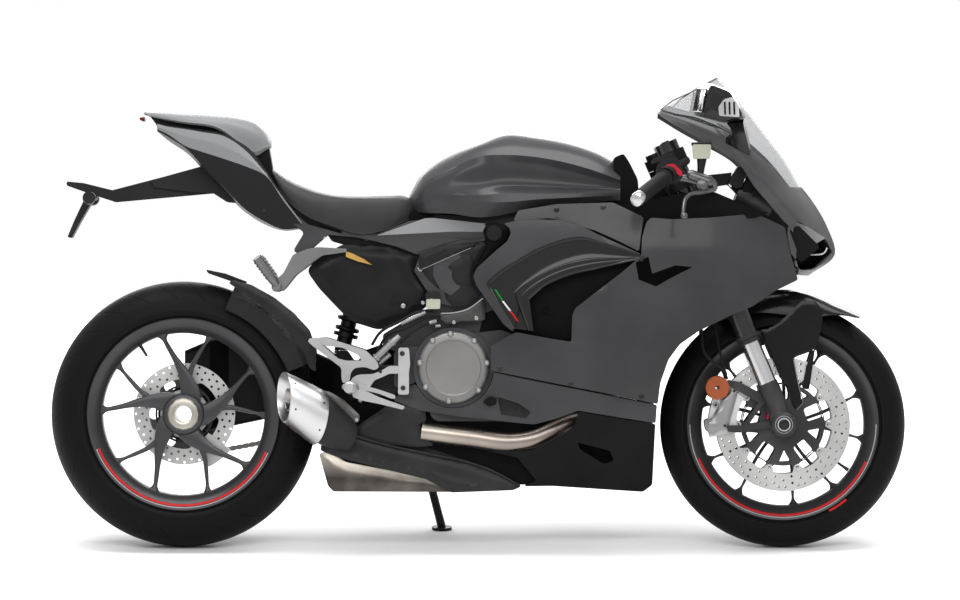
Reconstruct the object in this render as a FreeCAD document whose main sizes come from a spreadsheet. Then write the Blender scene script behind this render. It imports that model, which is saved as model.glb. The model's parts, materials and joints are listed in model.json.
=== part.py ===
"""A sport bike, modelled upright with its rear axle over the origin, then leaned onto its side stand.

X points forward, Y to the rider's left and Z up, in millimetres.
"""
import FreeCAD
import Part
import math
import os
from types import SimpleNamespace

import Sketcher
from FreeCAD import Placement, Rotation, Vector

doc = FreeCAD.newDocument("sport_bike")
X_AXIS = Vector(1, 0, 0)
Y_AXIS = Vector(0, 1, 0)
Z_AXIS = Vector(0, 0, 1)

# Driving dimensions

DIMENSIONS = {
    "wheelbase": 1436,
    "rake": 23,
    "fork_offset": 30,
    "fork_spread": 105,
    "lean": 10,
    "rear_tyre_radius": 318,
    "rear_tyre_width": 180,
    "rear_crown_drop": 62,
    "front_tyre_radius": 294,
    "front_tyre_width": 120,
    "front_crown_drop": 46,
    "bead_seat_radius": 218,
    "rim_flange_height": 13,
    "rim_flange_thickness": 5,
    "rear_rim_width": 152,
    "front_rim_width": 89,
    "well_radius": 194,
    "rear_hub_radius": 48,
    "spindle_bore_radius": 20,
    "spindle_radius": 27,
    "ring_nut_radius": 39,
    "front_axle_bore_radius": 12,
    "front_axle_radius": 16,
    "front_hub_radius": 30,
    "seat_gap": 0.3,
    "moving_gap": 5,
    "rear_disc_radius": 122,
    "rear_disc_inner_radius": 80,
    "front_disc_radius": 160,
    "front_disc_inner_radius": 116,
    "disc_thickness": 5,
    "front_disc_place": 66,
    "chain_place": 138,
    "chain_width": 16,
    "chain_height": 14,
    "sprocket_thickness": 6,
    "sprocket_radius": 104,
    "sprocket_teeth": 41,
    "front_sprocket_radius": 40,
    "pivot_forward": 535,
    "pivot_height": 400,
    "arm_inner_place": 98.6,
    "arm_outer_place": 124,
    "mudguard_gap": 14,
    "panel_thickness": 4,
    "fairing_half_width": 205,
    "fork_tube_radius": 27,
    "slider_radius": 21.5,
    "upper_yoke_height": 706,
    "lower_yoke_height": 505,
    "stem_radius": 17,
    "head_tube_radius": 30,
    "clutch_cover_radius": 84,
    "clutch_cover_forward": 647,
    "clutch_cover_height": 430,
    "clutch_case_wall": 11.5,
    "silencer_radius": 60,
    "header_radius": 23,
    "grip_radius": 17,
    "screen_thickness": 4,
}


class Size:
    """A number together with the sheet expression that gives it."""

    def __init__(self, value, text):
        self.value = float(value)
        self.text = text

    def __float__(self):
        return self.value

    def __add__(self, other):
        return combine(self, "+", other)

    def __radd__(self, other):
        return combine(other, "+", self)

    def __sub__(self, other):
        return combine(self, "-", other)

    def __rsub__(self, other):
        return combine(other, "-", self)

    def __mul__(self, other):
        return combine(self, "*", other)

    def __rmul__(self, other):
        return combine(other, "*", self)

    def __truediv__(self, other):
        return combine(self, "/", other)

    def __neg__(self):
        return combine(0, "-", self)


def text_of(item):
    return item.text if isinstance(item, Size) else f"{float(item):.6f}"


def combine(first, sign, second):
    """Join two sizes, or a size and a number, by plain arithmetic."""
    one = float(first)
    two = float(second)
    if sign == "+":
        value = one + two
    elif sign == "-":
        value = one - two
    elif sign == "*":
        value = one * two
    else:
        value = one / two
    return Size(value, f"({text_of(first)} {sign} {text_of(second)})")


def make_sheet():
    """Write the driving dimensions into a sheet and hand them back by name."""
    sheet = doc.addObject("Spreadsheet::Sheet", "Sizes")
    for row, (name, value) in enumerate(DIMENSIONS.items(), start=1):
        sheet.set(f"A{row}", name.replace("_", " "))
        sheet.set(f"B{row}", str(value))
        sheet.setAlias(f"B{row}", name)
    doc.recompute()
    return SimpleNamespace(**{name: Size(sheet.get(name), f"Sizes.{name}") for name in DIMENSIONS})


S = make_sheet()

# Frames of reference

DRAWN_WHEELBASE = 1436
lean_angle = float(S.lean)
rake = math.radians(float(S.rake))
rear_axle = Vector(0, 0, float(S.rear_tyre_radius))
front_axle = Vector(float(S.wheelbase), 0, float(S.front_tyre_radius))
steering_forward = Vector(math.cos(rake), 0, math.sin(rake))
steering_up = Vector(-math.sin(rake), 0, math.cos(rake))
steering_origin = front_axle - steering_forward * float(S.fork_offset)
steering_place = Placement(steering_origin, Rotation(Y_AXIS, -float(S.rake)))


def along(x):
    """Forward place of a point drawn between the axles, which spreads with the wheelbase."""
    return x * float(S.wheelbase) / DRAWN_WHEELBASE


def spot(x, y, z):
    return Vector(along(x), y, z)


def steer_spot(x, y, z):
    """A point read beside the bike, in the steering's own frame."""
    flat = spot(x, 0, z) - steering_origin
    return Vector(flat.dot(steering_forward), y, flat.dot(steering_up))


# Sketch and feature helpers

nodes = {}


def add_node(label, item, place=Placement()):
    item.Label = label
    nodes[label] = (item, place)
    return item


def new_body(label):
    return doc.addObject("PartDesign::Body", label)


def origin_plane(body, role):
    return next(feature for feature in body.Origin.OriginFeatures if feature.Role == role)


def bind(sketch, kind, line, point, size):
    """Hold one coordinate of a sketch point, from the sheet where it comes from there."""
    index = sketch.addConstraint(Sketcher.Constraint(kind, -1, 1, line, point, float(size)))
    if isinstance(size, Size):
        name = f"{kind}{index}"
        sketch.renameConstraint(index, name)
        sketch.setExpression(f"Constraints.{name}", size.text)


def arc_between(start, end, radius):
    """The arc of that radius that bulges to the right of the way from start to end."""
    chord = end - start
    middle = (start + end) * 0.5
    right = Vector(chord.y, -chord.x, 0).normalize()
    depth = math.sqrt(radius * radius - chord.Length ** 2 / 4)
    centre = middle - right * depth
    first = math.atan2(start.y - centre.y, start.x - centre.x)
    last = math.atan2(end.y - centre.y, end.x - centre.x)
    return Part.ArcOfCircle(Part.Circle(centre, Z_AXIS, radius), first, last)


def draw(body, name, role, loops=(), circles=(), bulges=None):
    """Sketch closed loops of (across, up) corners and circles of (across, up, radius)."""
    sketch = body.newObject("Sketcher::SketchObject", name)
    sketch.AttachmentSupport = (origin_plane(body, role), [""])
    sketch.MapMode = "FlatFace"
    bulges = bulges or {}
    for corners in loops:
        first = sketch.GeometryCount
        count = len(corners)
        flat = [Vector(float(across), float(up), 0) for across, up in corners]
        for index in range(count):
            start = flat[index]
            end = flat[(index + 1) % count]
            if index in bulges:
                sketch.addGeometry(arc_between(start, end, float(bulges[index])), False)
            else:
                sketch.addGeometry(Part.LineSegment(start, end), False)
        for index in range(count):
            following = first + (index + 1) % count
            sketch.addConstraint(Sketcher.Constraint("Coincident", first + index, 2, following, 1))
        for index, (across, up) in enumerate(corners):
            bind(sketch, "DistanceX", first + index, 1, across)
            bind(sketch, "DistanceY", first + index, 1, up)
        for index, radius in bulges.items():
            hold = sketch.addConstraint(Sketcher.Constraint("Radius", first + index, float(radius)))
            sketch.renameConstraint(hold, f"bulge{index}")
            sketch.setExpression(f"Constraints.bulge{index}", radius.text)
    for across, up, radius in circles:
        index = sketch.addGeometry(Part.Circle(Vector(float(across), float(up), 0), Z_AXIS, float(radius)),
                                   False)
        bind(sketch, "DistanceX", index, 3, across)
        bind(sketch, "DistanceY", index, 3, up)
        hold = sketch.addConstraint(Sketcher.Constraint("Radius", index, float(radius)))
        if isinstance(radius, Size):
            sketch.renameConstraint(hold, f"radius{index}")
            sketch.setExpression(f"Constraints.radius{index}", radius.text)
    return sketch


def bind_length(feature, name, size):
    setattr(feature, name, float(size))
    if isinstance(size, Size):
        feature.setExpression(name, size.text)


def revolve(body, name, corners, bulges=None, kind="PartDesign::Revolution"):
    """Turn a loop of (radius, across) corners about the body's Y axis."""
    sketch = draw(body, f"{name}_profile", "XY_Plane", [corners], bulges=bulges)
    feature = body.newObject(kind, name)
    feature.Profile = sketch
    feature.ReferenceAxis = (sketch, ["V_Axis"])
    feature.Angle = 360
    return feature


def pad_across(body, name, loops=(), circles=(), near=0, far=1, kind="PartDesign::Pad"):
    """Pad or pocket loops drawn in the side view between two places across the bike."""
    sketch = draw(body, f"{name}_outline", "XZ_Plane", loops, circles)
    middle = (near + far) / 2
    sketch.AttachmentOffset = Placement(Vector(0, 0, -float(middle)), Rotation())
    if isinstance(middle, Size):
        sketch.setExpression("AttachmentOffset.Base.z", f"-{middle.text}")
    feature = body.newObject(kind, name)
    feature.Profile = sketch
    feature.Midplane = True
    bind_length(feature, "Length", far - near)
    return feature


def repeat(body, features, count):
    """Repeat features evenly round the body's Y axis."""
    pattern = body.newObject("PartDesign::PolarPattern", f"{features[0].Name}_ring")
    pattern.Originals = features
    pattern.Axis = (features[0].Profile[0], ["N_Axis"])
    pattern.Angle = 360
    pattern.Occurrences = int(float(count))
    body.Tip = pattern
    return pattern


# Free shape helpers

LONGEST_CORNER = 0.42


def corner_arc(before, corner, after, radius):
    """The two ends and the middle of an arc that rounds a corner."""
    back = (before - corner).normalize()
    ahead = (after - corner).normalize()
    half = back.getAngle(ahead) / 2
    room = LONGEST_CORNER * min((before - corner).Length, (after - corner).Length)
    reach = min(radius / math.tan(half), room)
    bisector = (back + ahead).normalize()
    true_radius = reach * math.tan(half)
    centre = corner + bisector * (true_radius / math.sin(half))
    return corner + back * reach, centre - bisector * true_radius, corner + ahead * reach


def rounded(points, radius):
    """A closed flat wire through the points with every corner rounded by an arc."""
    count = len(points)
    arcs = []
    for index in range(count):
        arcs.append(corner_arc(points[index - 1], points[index], points[(index + 1) % count], radius))
    edges = []
    for index in range(count):
        start, middle, end = arcs[index]
        edges.append(Part.Arc(start, middle, end).toShape())
        edges.append(Part.LineSegment(end, arcs[(index + 1) % count][0]).toShape())
    return Part.Wire(edges)


def plate(outline, near, far, radius=4, move=spot):
    """A flat plate drawn in the side view as (x, z) corners, between two places across the bike."""
    near = float(near)
    far = float(far)
    wire = rounded([move(x, near, z) for x, z in outline], radius)
    return Part.Face(wire).extrude(Vector(0, far - near, 0))


def rod(start, end, radius):
    way = end - start
    return Part.makeCylinder(float(radius), way.Length, start, way)


def section(x, corners, radius):
    """A rounded section square to X through (y, z) corners."""
    return rounded([Vector(along(x), y, z) for y, z in corners], radius)


def mirrored_corners(half):
    """Both sides of a section from its left (y, z) corners, listed from the top down."""
    return half + [(-y, z) for y, z in reversed(half)]


def loft(sections, ruled=False):
    return Part.makeLoft(sections, True, ruled)


def mirror(shape):
    return shape.mirror(Vector(0, 0, 0), Y_AXIS)


def joined(shapes):
    first = shapes[0]
    return first.fuse(shapes[1:]).removeSplitter() if len(shapes) > 1 else first


def bundle(shapes):
    """Several solids that don't touch, kept together as one piece."""
    solids = [solid for shape in shapes for solid in shape.Solids]
    return solids[0] if len(solids) == 1 else Part.makeCompound(solids)


def piece(label, shape, place=Placement()):
    feature = doc.addObject("Part::Feature", label)
    feature.Shape = shape
    return add_node(label, feature, place)


def pipe(points, radius, bend, hollow=0):
    """A round tube along straight runs joined by arcs of the given radius."""
    edges = []
    here = points[0]
    for index in range(1, len(points) - 1):
        start, middle, end = corner_arc(points[index - 1], points[index], points[index + 1], bend)
        edges.append(Part.LineSegment(here, start).toShape())
        edges.append(Part.Arc(start, middle, end).toShape())
        here = end
    edges.append(Part.LineSegment(here, points[-1]).toShape())
    path = Part.Wire(edges)
    way = points[1] - points[0]
    ring = Part.Wire([Part.makeCircle(float(radius), points[0], way)])
    tube = path.makePipeShell([ring], True, False)
    if hollow:
        inside = Part.Wire([Part.makeCircle(float(hollow), points[0], way)])
        tube = tube.cut(path.makePipeShell([inside], True, False))
    return tube


def smooth_surface(grid):
    surface = Part.BSplineSurface()
    surface.interpolate(grid)
    return surface


def thick_patch(grid, thickness):
    """A curved panel: a smooth outer face through a grid of points and an inner face a wall behind it."""
    rows = len(grid)
    columns = len(grid[0])
    inner = []
    for i in range(rows):
        line = []
        for j in range(columns):
            down = grid[min(i + 1, rows - 1)][j] - grid[max(i - 1, 0)][j]
            across = grid[i][min(j + 1, columns - 1)] - grid[i][max(j - 1, 0)]
            line.append(grid[i][j] - down.cross(across).normalize() * float(thickness))
        inner.append(line)
    outer_face = smooth_surface(grid).toShape()
    inner_face = smooth_surface(inner).toShape()
    walls = [Part.makeRuledSurface(one, two) for one, two in zip(outer_face.Edges, inner_face.Edges)]
    shell = Part.makeShell([outer_face, inner_face] + walls)
    shell.sewShape()
    solid = Part.Solid(shell)
    if solid.Volume < 0:
        solid.reverse()
    return solid


# Tyres

def make_tyre(label, radius, width, crown_drop, rim_width, axle):
    """A tyre whose crown is one arc and whose beads sit between the rim's flanges."""
    half = width / 2
    bead = rim_width / 2 - S.seat_gap
    seat = S.bead_seat_radius + S.seat_gap
    flange_top = S.bead_seat_radius + S.rim_flange_height + 2
    shoulder = radius - crown_drop
    shoulder_half = half - 2
    crown_radius = (shoulder_half * shoulder_half + crown_drop * crown_drop) / (2 * crown_drop)
    widest = shoulder - 10
    corners = [
        (seat, -bead),
        (flange_top, -bead),
        (flange_top + 4, -(half - 5)),
        (widest, -half),
        (shoulder, -shoulder_half),
        (shoulder, shoulder_half),
        (widest, half),
        (flange_top + 4, half - 5),
        (flange_top, bead),
        (seat, bead),
    ]
    body = new_body(label)
    revolve(body, f"{label}_ring", corners, bulges={4: crown_radius})
    add_node(label, body, Placement(axle, Rotation()))
    return float(crown_radius)


def barrel_corners(rim_width, well):
    """Half section of a rim: flanges, bead seats, drop centre and the open inside."""
    half = rim_width / 2
    flange = S.bead_seat_radius + S.rim_flange_height
    outside = half + S.rim_flange_thickness
    seat = S.bead_seat_radius
    upper = [
        (well, half - 32),
        (well + 4, half - 20),
        (seat - 7, half - 4),
        (flange - 5, outside),
        (flange, outside),
        (flange, half),
        (seat, half),
        (seat, half - 14),
        (well + 9, half - 26),
    ]
    lower = [(across, -up) for across, up in upper]
    return list(reversed(upper)) + lower


def polar_corner(radius, degrees):
    """A wheel point whose radius may come from the sheet."""
    return radius * math.cos(math.radians(degrees)), radius * math.sin(math.radians(degrees))


rear_crown = make_tyre("rear_tyre", S.rear_tyre_radius, S.rear_tyre_width, S.rear_crown_drop,
                       S.rear_rim_width, rear_axle)
make_tyre("front_tyre", S.front_tyre_radius, S.front_tyre_width, S.front_crown_drop,
          S.front_rim_width, front_axle)

# Rear wheel

SPOKES = 5
HUB_RIGHT = -52
HUB_LEFT = 38


def make_rear_rim():
    """A cast wheel: five swept main spokes, each with a thin branch, on a short hub."""
    body = new_body("rear_rim")
    revolve(body, "rear_hub", [
        (S.spindle_radius + S.seat_gap, HUB_RIGHT),
        (S.rear_hub_radius, HUB_RIGHT),
        (S.rear_hub_radius + 4, HUB_RIGHT + 10),
        (S.rear_hub_radius + 2, HUB_LEFT),
        (S.spindle_radius + S.seat_gap, HUB_LEFT),
    ])
    inside = S.rear_hub_radius - 4
    reach = S.well_radius + 3
    tip = 33
    main = [
        polar_corner(inside, tip - 8),
        polar_corner(inside, tip - 73),
        polar_corner(S.rear_hub_radius + 46, tip - 28),
        polar_corner(reach, tip - 2.6),
        polar_corner(reach, tip + 2.6),
        polar_corner(S.rear_hub_radius + 46, tip - 7.4),
    ]
    branch = [
        polar_corner(S.rear_hub_radius + 44, tip - 27),
        polar_corner(S.rear_hub_radius + 58, tip - 18),
        polar_corner(reach, tip - 32),
        polar_corner(reach, tip - 35.6),
    ]
    main_spoke = pad_across(body, "main_spoke", [main], near=-46, far=-16)
    branch_spoke = pad_across(body, "branch_spoke", [branch], near=-42, far=-20)
    repeat(body, [main_spoke, branch_spoke], SPOKES)
    revolve(body, "rear_barrel", barrel_corners(S.rear_rim_width, S.well_radius))
    add_node("rear_rim", body, Placement(rear_axle, Rotation()))


DISC_CARRIER_RIGHT = HUB_LEFT + 0.3
DISC_LEFT = DISC_CARRIER_RIGHT + 7
SPINDLE_FLANGE_LEFT = DISC_LEFT + 5
CARRIER_RIGHT = SPINDLE_FLANGE_LEFT + 2
CARRIER_LEFT = 120
HOLES_ROUND = 12


def make_disc(label, radius, inner_radius, bore_radius, carrier_near, carrier_far, arms):
    """A brake disc: a drilled band carried by arms on a hub ring."""
    body = new_body(label)
    band_near = carrier_near
    band_far = carrier_near + S.disc_thickness
    ring = bore_radius + 16
    pad_across(body, f"{label}_hub_ring", circles=[(0, 0, ring)], near=carrier_near, far=carrier_far)
    arm = [
        (ring - 6, -9),
        (inner_radius + 4, -5),
        (inner_radius + 4, 5),
        (ring - 6, 9),
    ]
    arm_pad = pad_across(body, f"{label}_arm", [arm], near=carrier_near, far=band_far)
    repeat(body, [arm_pad], arms)
    pad_across(body, f"{label}_band", circles=[(0, 0, radius), (0, 0, inner_radius)], near=band_near,
               far=band_far)
    pad_across(body, f"{label}_bore", circles=[(0, 0, bore_radius)], near=carrier_near - 1, far=carrier_far + 1,
               kind="PartDesign::Pocket")
    middle = (radius + inner_radius) / 2
    holes = [(middle + 8, 0, 3.5)]
    hole = pad_across(body, f"{label}_hole", circles=holes, near=band_near - 1, far=band_far + 1,
                      kind="PartDesign::Pocket")
    repeat(body, [hole], HOLES_ROUND)
    return body


def make_rear_disc():
    body = make_disc("rear_disc", S.rear_disc_radius, S.rear_disc_inner_radius, S.spindle_radius + S.seat_gap,
                     DISC_CARRIER_RIGHT, DISC_LEFT, 5)
    add_node("rear_disc", body, Placement(rear_axle, Rotation()))


def make_rear_spindle():
    """The hollow spindle with its ring nut on the right and the sprocket's flange on the left."""
    bore = S.spindle_bore_radius
    shaft = S.spindle_radius
    nut_left = HUB_RIGHT - S.seat_gap
    flange_right = DISC_LEFT + S.seat_gap
    sprocket_right = S.chain_place - S.sprocket_thickness / 2
    sprocket_left = S.chain_place + S.sprocket_thickness / 2
    corners = [
        (bore, HUB_RIGHT - 13),
        (S.ring_nut_radius - 6, HUB_RIGHT - 13),
        (S.ring_nut_radius, nut_left - 5),
        (S.ring_nut_radius, nut_left),
        (shaft, nut_left),
        (shaft, flange_right),
        (shaft + 31, flange_right),
        (shaft + 31, SPINDLE_FLANGE_LEFT),
        (shaft, SPINDLE_FLANGE_LEFT),
        (shaft, CARRIER_LEFT + 2),
        (shaft + 20, CARRIER_LEFT + 2),
        (shaft + 20, sprocket_right - S.seat_gap),
        (shaft, sprocket_right - S.seat_gap),
        (shaft, sprocket_left + S.seat_gap),
        (shaft + 6, sprocket_left + S.seat_gap),
        (shaft + 4, sprocket_left + 11),
        (bore, sprocket_left + 11),
    ]
    body = new_body("rear_spindle")
    revolve(body, "spindle_turning", corners)
    add_node("rear_spindle", body, Placement(rear_axle, Rotation()))


TOOTH_RISE = 3
ROLLER_RADIUS = 5


def make_rear_sprocket():
    """A toothed plate with six windows, driven by the chain."""
    body = new_body("rear_sprocket")
    near = S.chain_place - S.sprocket_thickness / 2
    far = S.chain_place + S.sprocket_thickness / 2
    tip = S.sprocket_radius + TOOTH_RISE
    pad_across(body, "sprocket_plate", circles=[(0, 0, tip), (0, 0, S.spindle_radius + S.seat_gap)],
               near=near, far=far)
    gap = pad_across(body, "tooth_gap", circles=[(tip + 1, 0, ROLLER_RADIUS)], near=near - 1, far=far + 1,
                     kind="PartDesign::Pocket")
    repeat(body, [gap], S.sprocket_teeth)
    window = pad_across(body, "sprocket_window", circles=[(S.sprocket_radius - 28, 0, 14)], near=near - 1,
                        far=far + 1, kind="PartDesign::Pocket")
    repeat(body, [window], 6)
    add_node("rear_sprocket", body, Placement(rear_axle, Rotation()))


make_rear_rim()
make_rear_disc()
make_rear_spindle()
make_rear_sprocket()

# Front wheel

FRONT_HUB_HALF = 46


def make_front_rim():
    """A cast wheel with five forked spokes on a hub with disc flanges."""
    body = new_body("front_rim")
    bore = S.front_axle_radius + S.seat_gap
    disc_inner = S.front_disc_place - S.disc_thickness / 2 - S.seat_gap
    revolve(body, "front_hub", [
        (bore, -disc_inner),
        (S.front_hub_radius + 8, -disc_inner),
        (S.front_hub_radius + 8, -disc_inner + 8),
        (S.front_hub_radius, -FRONT_HUB_HALF / 2),
        (S.front_hub_radius, FRONT_HUB_HALF / 2),
        (S.front_hub_radius + 8, disc_inner - 8),
        (S.front_hub_radius + 8, disc_inner),
        (bore, disc_inner),
    ])
    reach = S.well_radius + 3
    middle = 5.5
    stem = [
        polar_corner(S.front_hub_radius - 4, middle - 26),
        polar_corner(S.front_hub_radius + 52, middle - 9),
        polar_corner(S.front_hub_radius + 52, middle + 9),
        polar_corner(S.front_hub_radius - 4, middle + 26),
    ]
    spokes = [pad_across(body, "stem", [stem], near=-15, far=15)]
    for side in (-1, 1):
        arm = [
            polar_corner(S.front_hub_radius + 40, middle + side * 1),
            polar_corner(S.front_hub_radius + 50, middle + side * 9),
            polar_corner(reach, middle + side * 17.6),
            polar_corner(reach, middle + side * 14),
            polar_corner(S.front_hub_radius + 62, middle + side * 4),
        ]
        name = "fork_arm_up" if side > 0 else "fork_arm_down"
        spokes.append(pad_across(body, name, [arm[::side]], near=-11, far=11))
    repeat(body, spokes, SPOKES)
    revolve(body, "front_barrel", barrel_corners(S.front_rim_width, S.well_radius))
    add_node("front_rim", body, Placement(front_axle, Rotation()))


def make_front_discs():
    near = S.front_disc_place - S.disc_thickness / 2
    body = make_disc("front_disc_left_form", S.front_disc_radius, S.front_disc_inner_radius,
                     S.front_hub_radius - 6, near, near + S.disc_thickness, 10)
    doc.recompute()
    twin = doc.addObject("Part::Mirroring", "front_disc_right_form")
    twin.Source = body
    twin.Normal = Y_AXIS
    pair = doc.addObject("Part::Compound", "front_discs")
    pair.Links = [body, twin]
    add_node("front_discs", pair, Placement(front_axle, Rotation()))


EYE_WIDTH = 50


def make_front_axle():
    bore = S.front_axle_bore_radius
    shaft = S.front_axle_radius
    end = S.fork_spread + EYE_WIDTH / 2 + S.seat_gap + 6
    body = new_body("front_axle")
    revolve(body, "axle_turning", [
        (bore, -end),
        (shaft + 5, -end),
        (shaft + 5, -end + 6),
        (shaft, -end + 6),
        (shaft, end - 6),
        (shaft + 5, end - 6),
        (shaft + 5, end),
        (bore, end),
    ])
    add_node("front_axle", body, Placement(front_axle, Rotation()))


make_front_rim()
make_front_discs()
make_front_axle()

# Fork, yokes and bars, in the steering's own frame

axle_in_steering = Vector(float(S.fork_offset), 0, 0)
FOOT_TOP = 102
TUBE_BOTTOM = 208
TUBE_ABOVE_YOKE = 16
YOKE_THICKNESS = 26


def fork_points(side):
    """Foot of one fork leg in the steering's frame."""
    return Vector(float(S.fork_offset), side * float(S.fork_spread), 0)


def make_fork_leg(side):
    """An upside-down fork leg: outer tube, slider and the foot that holds axle and caliper."""
    foot = fork_points(side)
    top = float(S.upper_yoke_height) + TUBE_ABOVE_YOKE
    tube = Part.makeCylinder(float(S.fork_tube_radius), top - TUBE_BOTTOM, foot + Z_AXIS * TUBE_BOTTOM, Z_AXIS)
    collar = Part.makeCone(float(S.slider_radius) + 3, float(S.fork_tube_radius), 14,
                           foot + Z_AXIS * (TUBE_BOTTOM - 14), Z_AXIS)
    slider = Part.makeCylinder(float(S.slider_radius), TUBE_BOTTOM - 40, foot + Z_AXIS * 40, Z_AXIS)
    column = Part.makeCylinder(float(S.slider_radius) + 3.5, FOOT_TOP - 14, foot + Z_AXIS * 14, Z_AXIS)
    eye = Part.makeCylinder(30, EYE_WIDTH, foot - Y_AXIS * EYE_WIDTH / 2, Y_AXIS)
    lug = plate([(-126, 84), (-130, 46), (-90, 14), (-25, -12), (10, 0), (10, 95), (-50, 104)],
                side * 79.8, side * 102, 6, move=lambda x, y, z: Vector(foot.x + x, y, z))
    bore = Part.makeCylinder(float(S.front_axle_radius + S.seat_gap), 200, foot - Y_AXIS * 100, Y_AXIS)
    return joined([tube, collar, slider, column, eye, lug]).cut(bore)


def make_fork_legs():
    piece("fork_legs", bundle([make_fork_leg(1), make_fork_leg(-1)]), steering_place)


def yoke_plate(height, thickness, back):
    """One yoke: a waisted plate that clamps both fork tubes round the stem."""
    offset = float(S.fork_offset)
    spread = float(S.fork_spread)
    clamp = float(S.fork_tube_radius) + 11
    half = [
        Vector(offset + clamp, spread + clamp * 0.4, height),
        Vector(offset + clamp * 0.3, spread + clamp, height),
        Vector(offset - clamp * 0.6, spread + clamp * 0.8, height),
        Vector(offset - clamp, spread * 0.6, height),
        Vector(-back, 20, height),
    ]
    outline = half + [Vector(corner.x, -corner.y, corner.z) for corner in reversed(half)]
    solid = Part.Face(rounded(outline, 12)).extrude(Z_AXIS * thickness)
    for side in (-1, 1):
        hole = Part.makeCylinder(float(S.fork_tube_radius + S.seat_gap), 4 * thickness,
                                 Vector(offset, side * spread, height - thickness), Z_AXIS)
        solid = solid.cut(hole)
    return solid


def make_yokes():
    lower = float(S.lower_yoke_height)
    upper = float(S.upper_yoke_height)
    top_plate = yoke_plate(upper - YOKE_THICKNESS, YOKE_THICKNESS, 30)
    bottom_plate = yoke_plate(lower, YOKE_THICKNESS + 14, 28)
    stem = Part.makeCylinder(float(S.stem_radius), upper + 12 - lower, Vector(0, 0, lower), Z_AXIS)
    nut = Part.makeCylinder(float(S.stem_radius) + 6, 12, Vector(0, 0, upper), Z_AXIS)
    piece("yokes", joined([top_plate, bottom_plate, stem, nut]), steering_place)


DRAWN_YOKE_HEIGHT = 706


def yoke_lift():
    """How far the upper yoke stands above the height it was drawn at, along the steering axis."""
    return Z_AXIS * (float(S.upper_yoke_height) - DRAWN_YOKE_HEIGHT)


def bar_spot(x, y, z):
    """A point read beside the bike that keeps its place to the upper yoke, in the steering's own frame."""
    return steer_spot(x, y, z) + yoke_lift()


def bar_point(across):
    """Centre of the left handlebar at a place across the bike."""
    inner = bar_spot(1157, 200, 889)
    outer = bar_spot(1082, 345, 829)
    share = (across - inner.y) / (outer.y - inner.y)
    return inner + (outer - inner) * share


def make_handlebar(side, label):
    """A clip-on: clamp, tube, grip, bar end, switchgear, lever with its cylinder, all on one side."""
    clamp_height = float(S.upper_yoke_height) - YOKE_THICKNESS - float(S.seat_gap) - 30
    spread = float(S.fork_spread)
    tube_radius = float(S.fork_tube_radius)
    clamp = Part.makeCylinder(tube_radius + 8, 30, Vector(float(S.fork_offset), spread, clamp_height), Z_AXIS)
    fork_hole = Part.makeCylinder(tube_radius + float(S.seat_gap), 60,
                                  Vector(float(S.fork_offset), spread, clamp_height - 15), Z_AXIS)
    bar = rod(bar_point(spread + tube_radius - 2), bar_point(300), 11)
    grip = rod(bar_point(212), bar_point(328), S.grip_radius)
    end_weight = rod(bar_point(328), bar_point(345), S.grip_radius)
    switches = rod(bar_point(168), bar_point(204), 24)
    switch_box = plate([(1133, 905), (1150, 948), (1190, 956), (1198, 900), (1165, 889)], 172, 200, 6,
                       move=bar_spot)
    perch = rod(bar_point(160), bar_point(168), 20)
    cylinder = rod(bar_spot(1214, 150, 862), bar_spot(1270, 166, 892), 13)
    link = rod(bar_point(164), bar_spot(1232, 160, 874), 9)
    lever = pipe([bar_spot(1260, 168, 865), bar_spot(1241, 235, 841), bar_spot(1198, 318, 796)], 6, 60)
    ball = Part.makeSphere(10, bar_spot(1198, 322, 794))
    pivot = rod(bar_spot(1262, 158, 884), bar_spot(1265, 168, 860), 10)
    parts = [clamp, bar, grip, end_weight, switches, switch_box, perch, cylinder, link, lever, ball, pivot]
    if side < 0:
        foot = bar_spot(1246, 150, 905)
        pot = bar_spot(1244, 150, 932)
        parts.append(rod(foot, pot, 5))
        parts.append(Part.makeCylinder(26, 44, bar_spot(1238, 150, 930), Z_AXIS))
        parts.append(rod(bar_spot(1242, 158, 880), bar_spot(1246, 150, 912), 8))
    whole = joined(parts).cut(fork_hole)
    if side < 0:
        whole = mirror(whole)
    piece(label, whole, steering_place)


CALIPER_SPAN = 44
CALIPER_MIDDLE = 168


def ring_sector(axle, inner, outer, start, end, near, far):
    """A block between two radii and two angles about an axle, across the given width."""
    a0 = math.radians(start)
    a1 = math.radians(end)
    am = (a0 + a1) / 2

    def at(radius, angle):
        return axle + Vector(radius * math.cos(angle), near, radius * math.sin(angle))

    edges = [
        Part.Arc(at(outer, a0), at(outer, am), at(outer, a1)).toShape(),
        Part.LineSegment(at(outer, a1), at(inner, a1)).toShape(),
        Part.Arc(at(inner, a1), at(inner, am), at(inner, a0)).toShape(),
        Part.LineSegment(at(inner, a0), at(outer, a0)).toShape(),
    ]
    return Part.Face(Part.Wire(edges)).extrude(Vector(0, far - near, 0))


def make_caliper(axle, disc_radius, middle, span, disc_near, disc_far, near, far):
    """A brake caliper: a block over the disc's edge with a slot for the disc."""
    block = ring_sector(axle, disc_radius - 48, disc_radius + 18, middle - span / 2, middle + span / 2, near,
                        far)
    gap = float(S.moving_gap)
    slot = ring_sector(axle, disc_radius - 70, disc_radius + gap, middle - span, middle + span,
                       disc_near - gap, disc_far + gap)
    return block.cut(slot)


def make_front_calipers():
    near = float(S.front_disc_place - S.disc_thickness / 2)
    far = float(S.front_disc_place + S.disc_thickness / 2)
    middle = CALIPER_MIDDLE - float(S.rake)
    left = make_caliper(axle_in_steering, float(S.front_disc_radius), middle, CALIPER_SPAN, near, far,
                        near - 19, far + 11)
    piece("front_calipers", bundle([left, mirror(left)]), steering_place)


make_fork_legs()
make_yokes()
make_handlebar(1, "handlebar_left")
make_handlebar(-1, "handlebar_right")
make_front_calipers()


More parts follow.
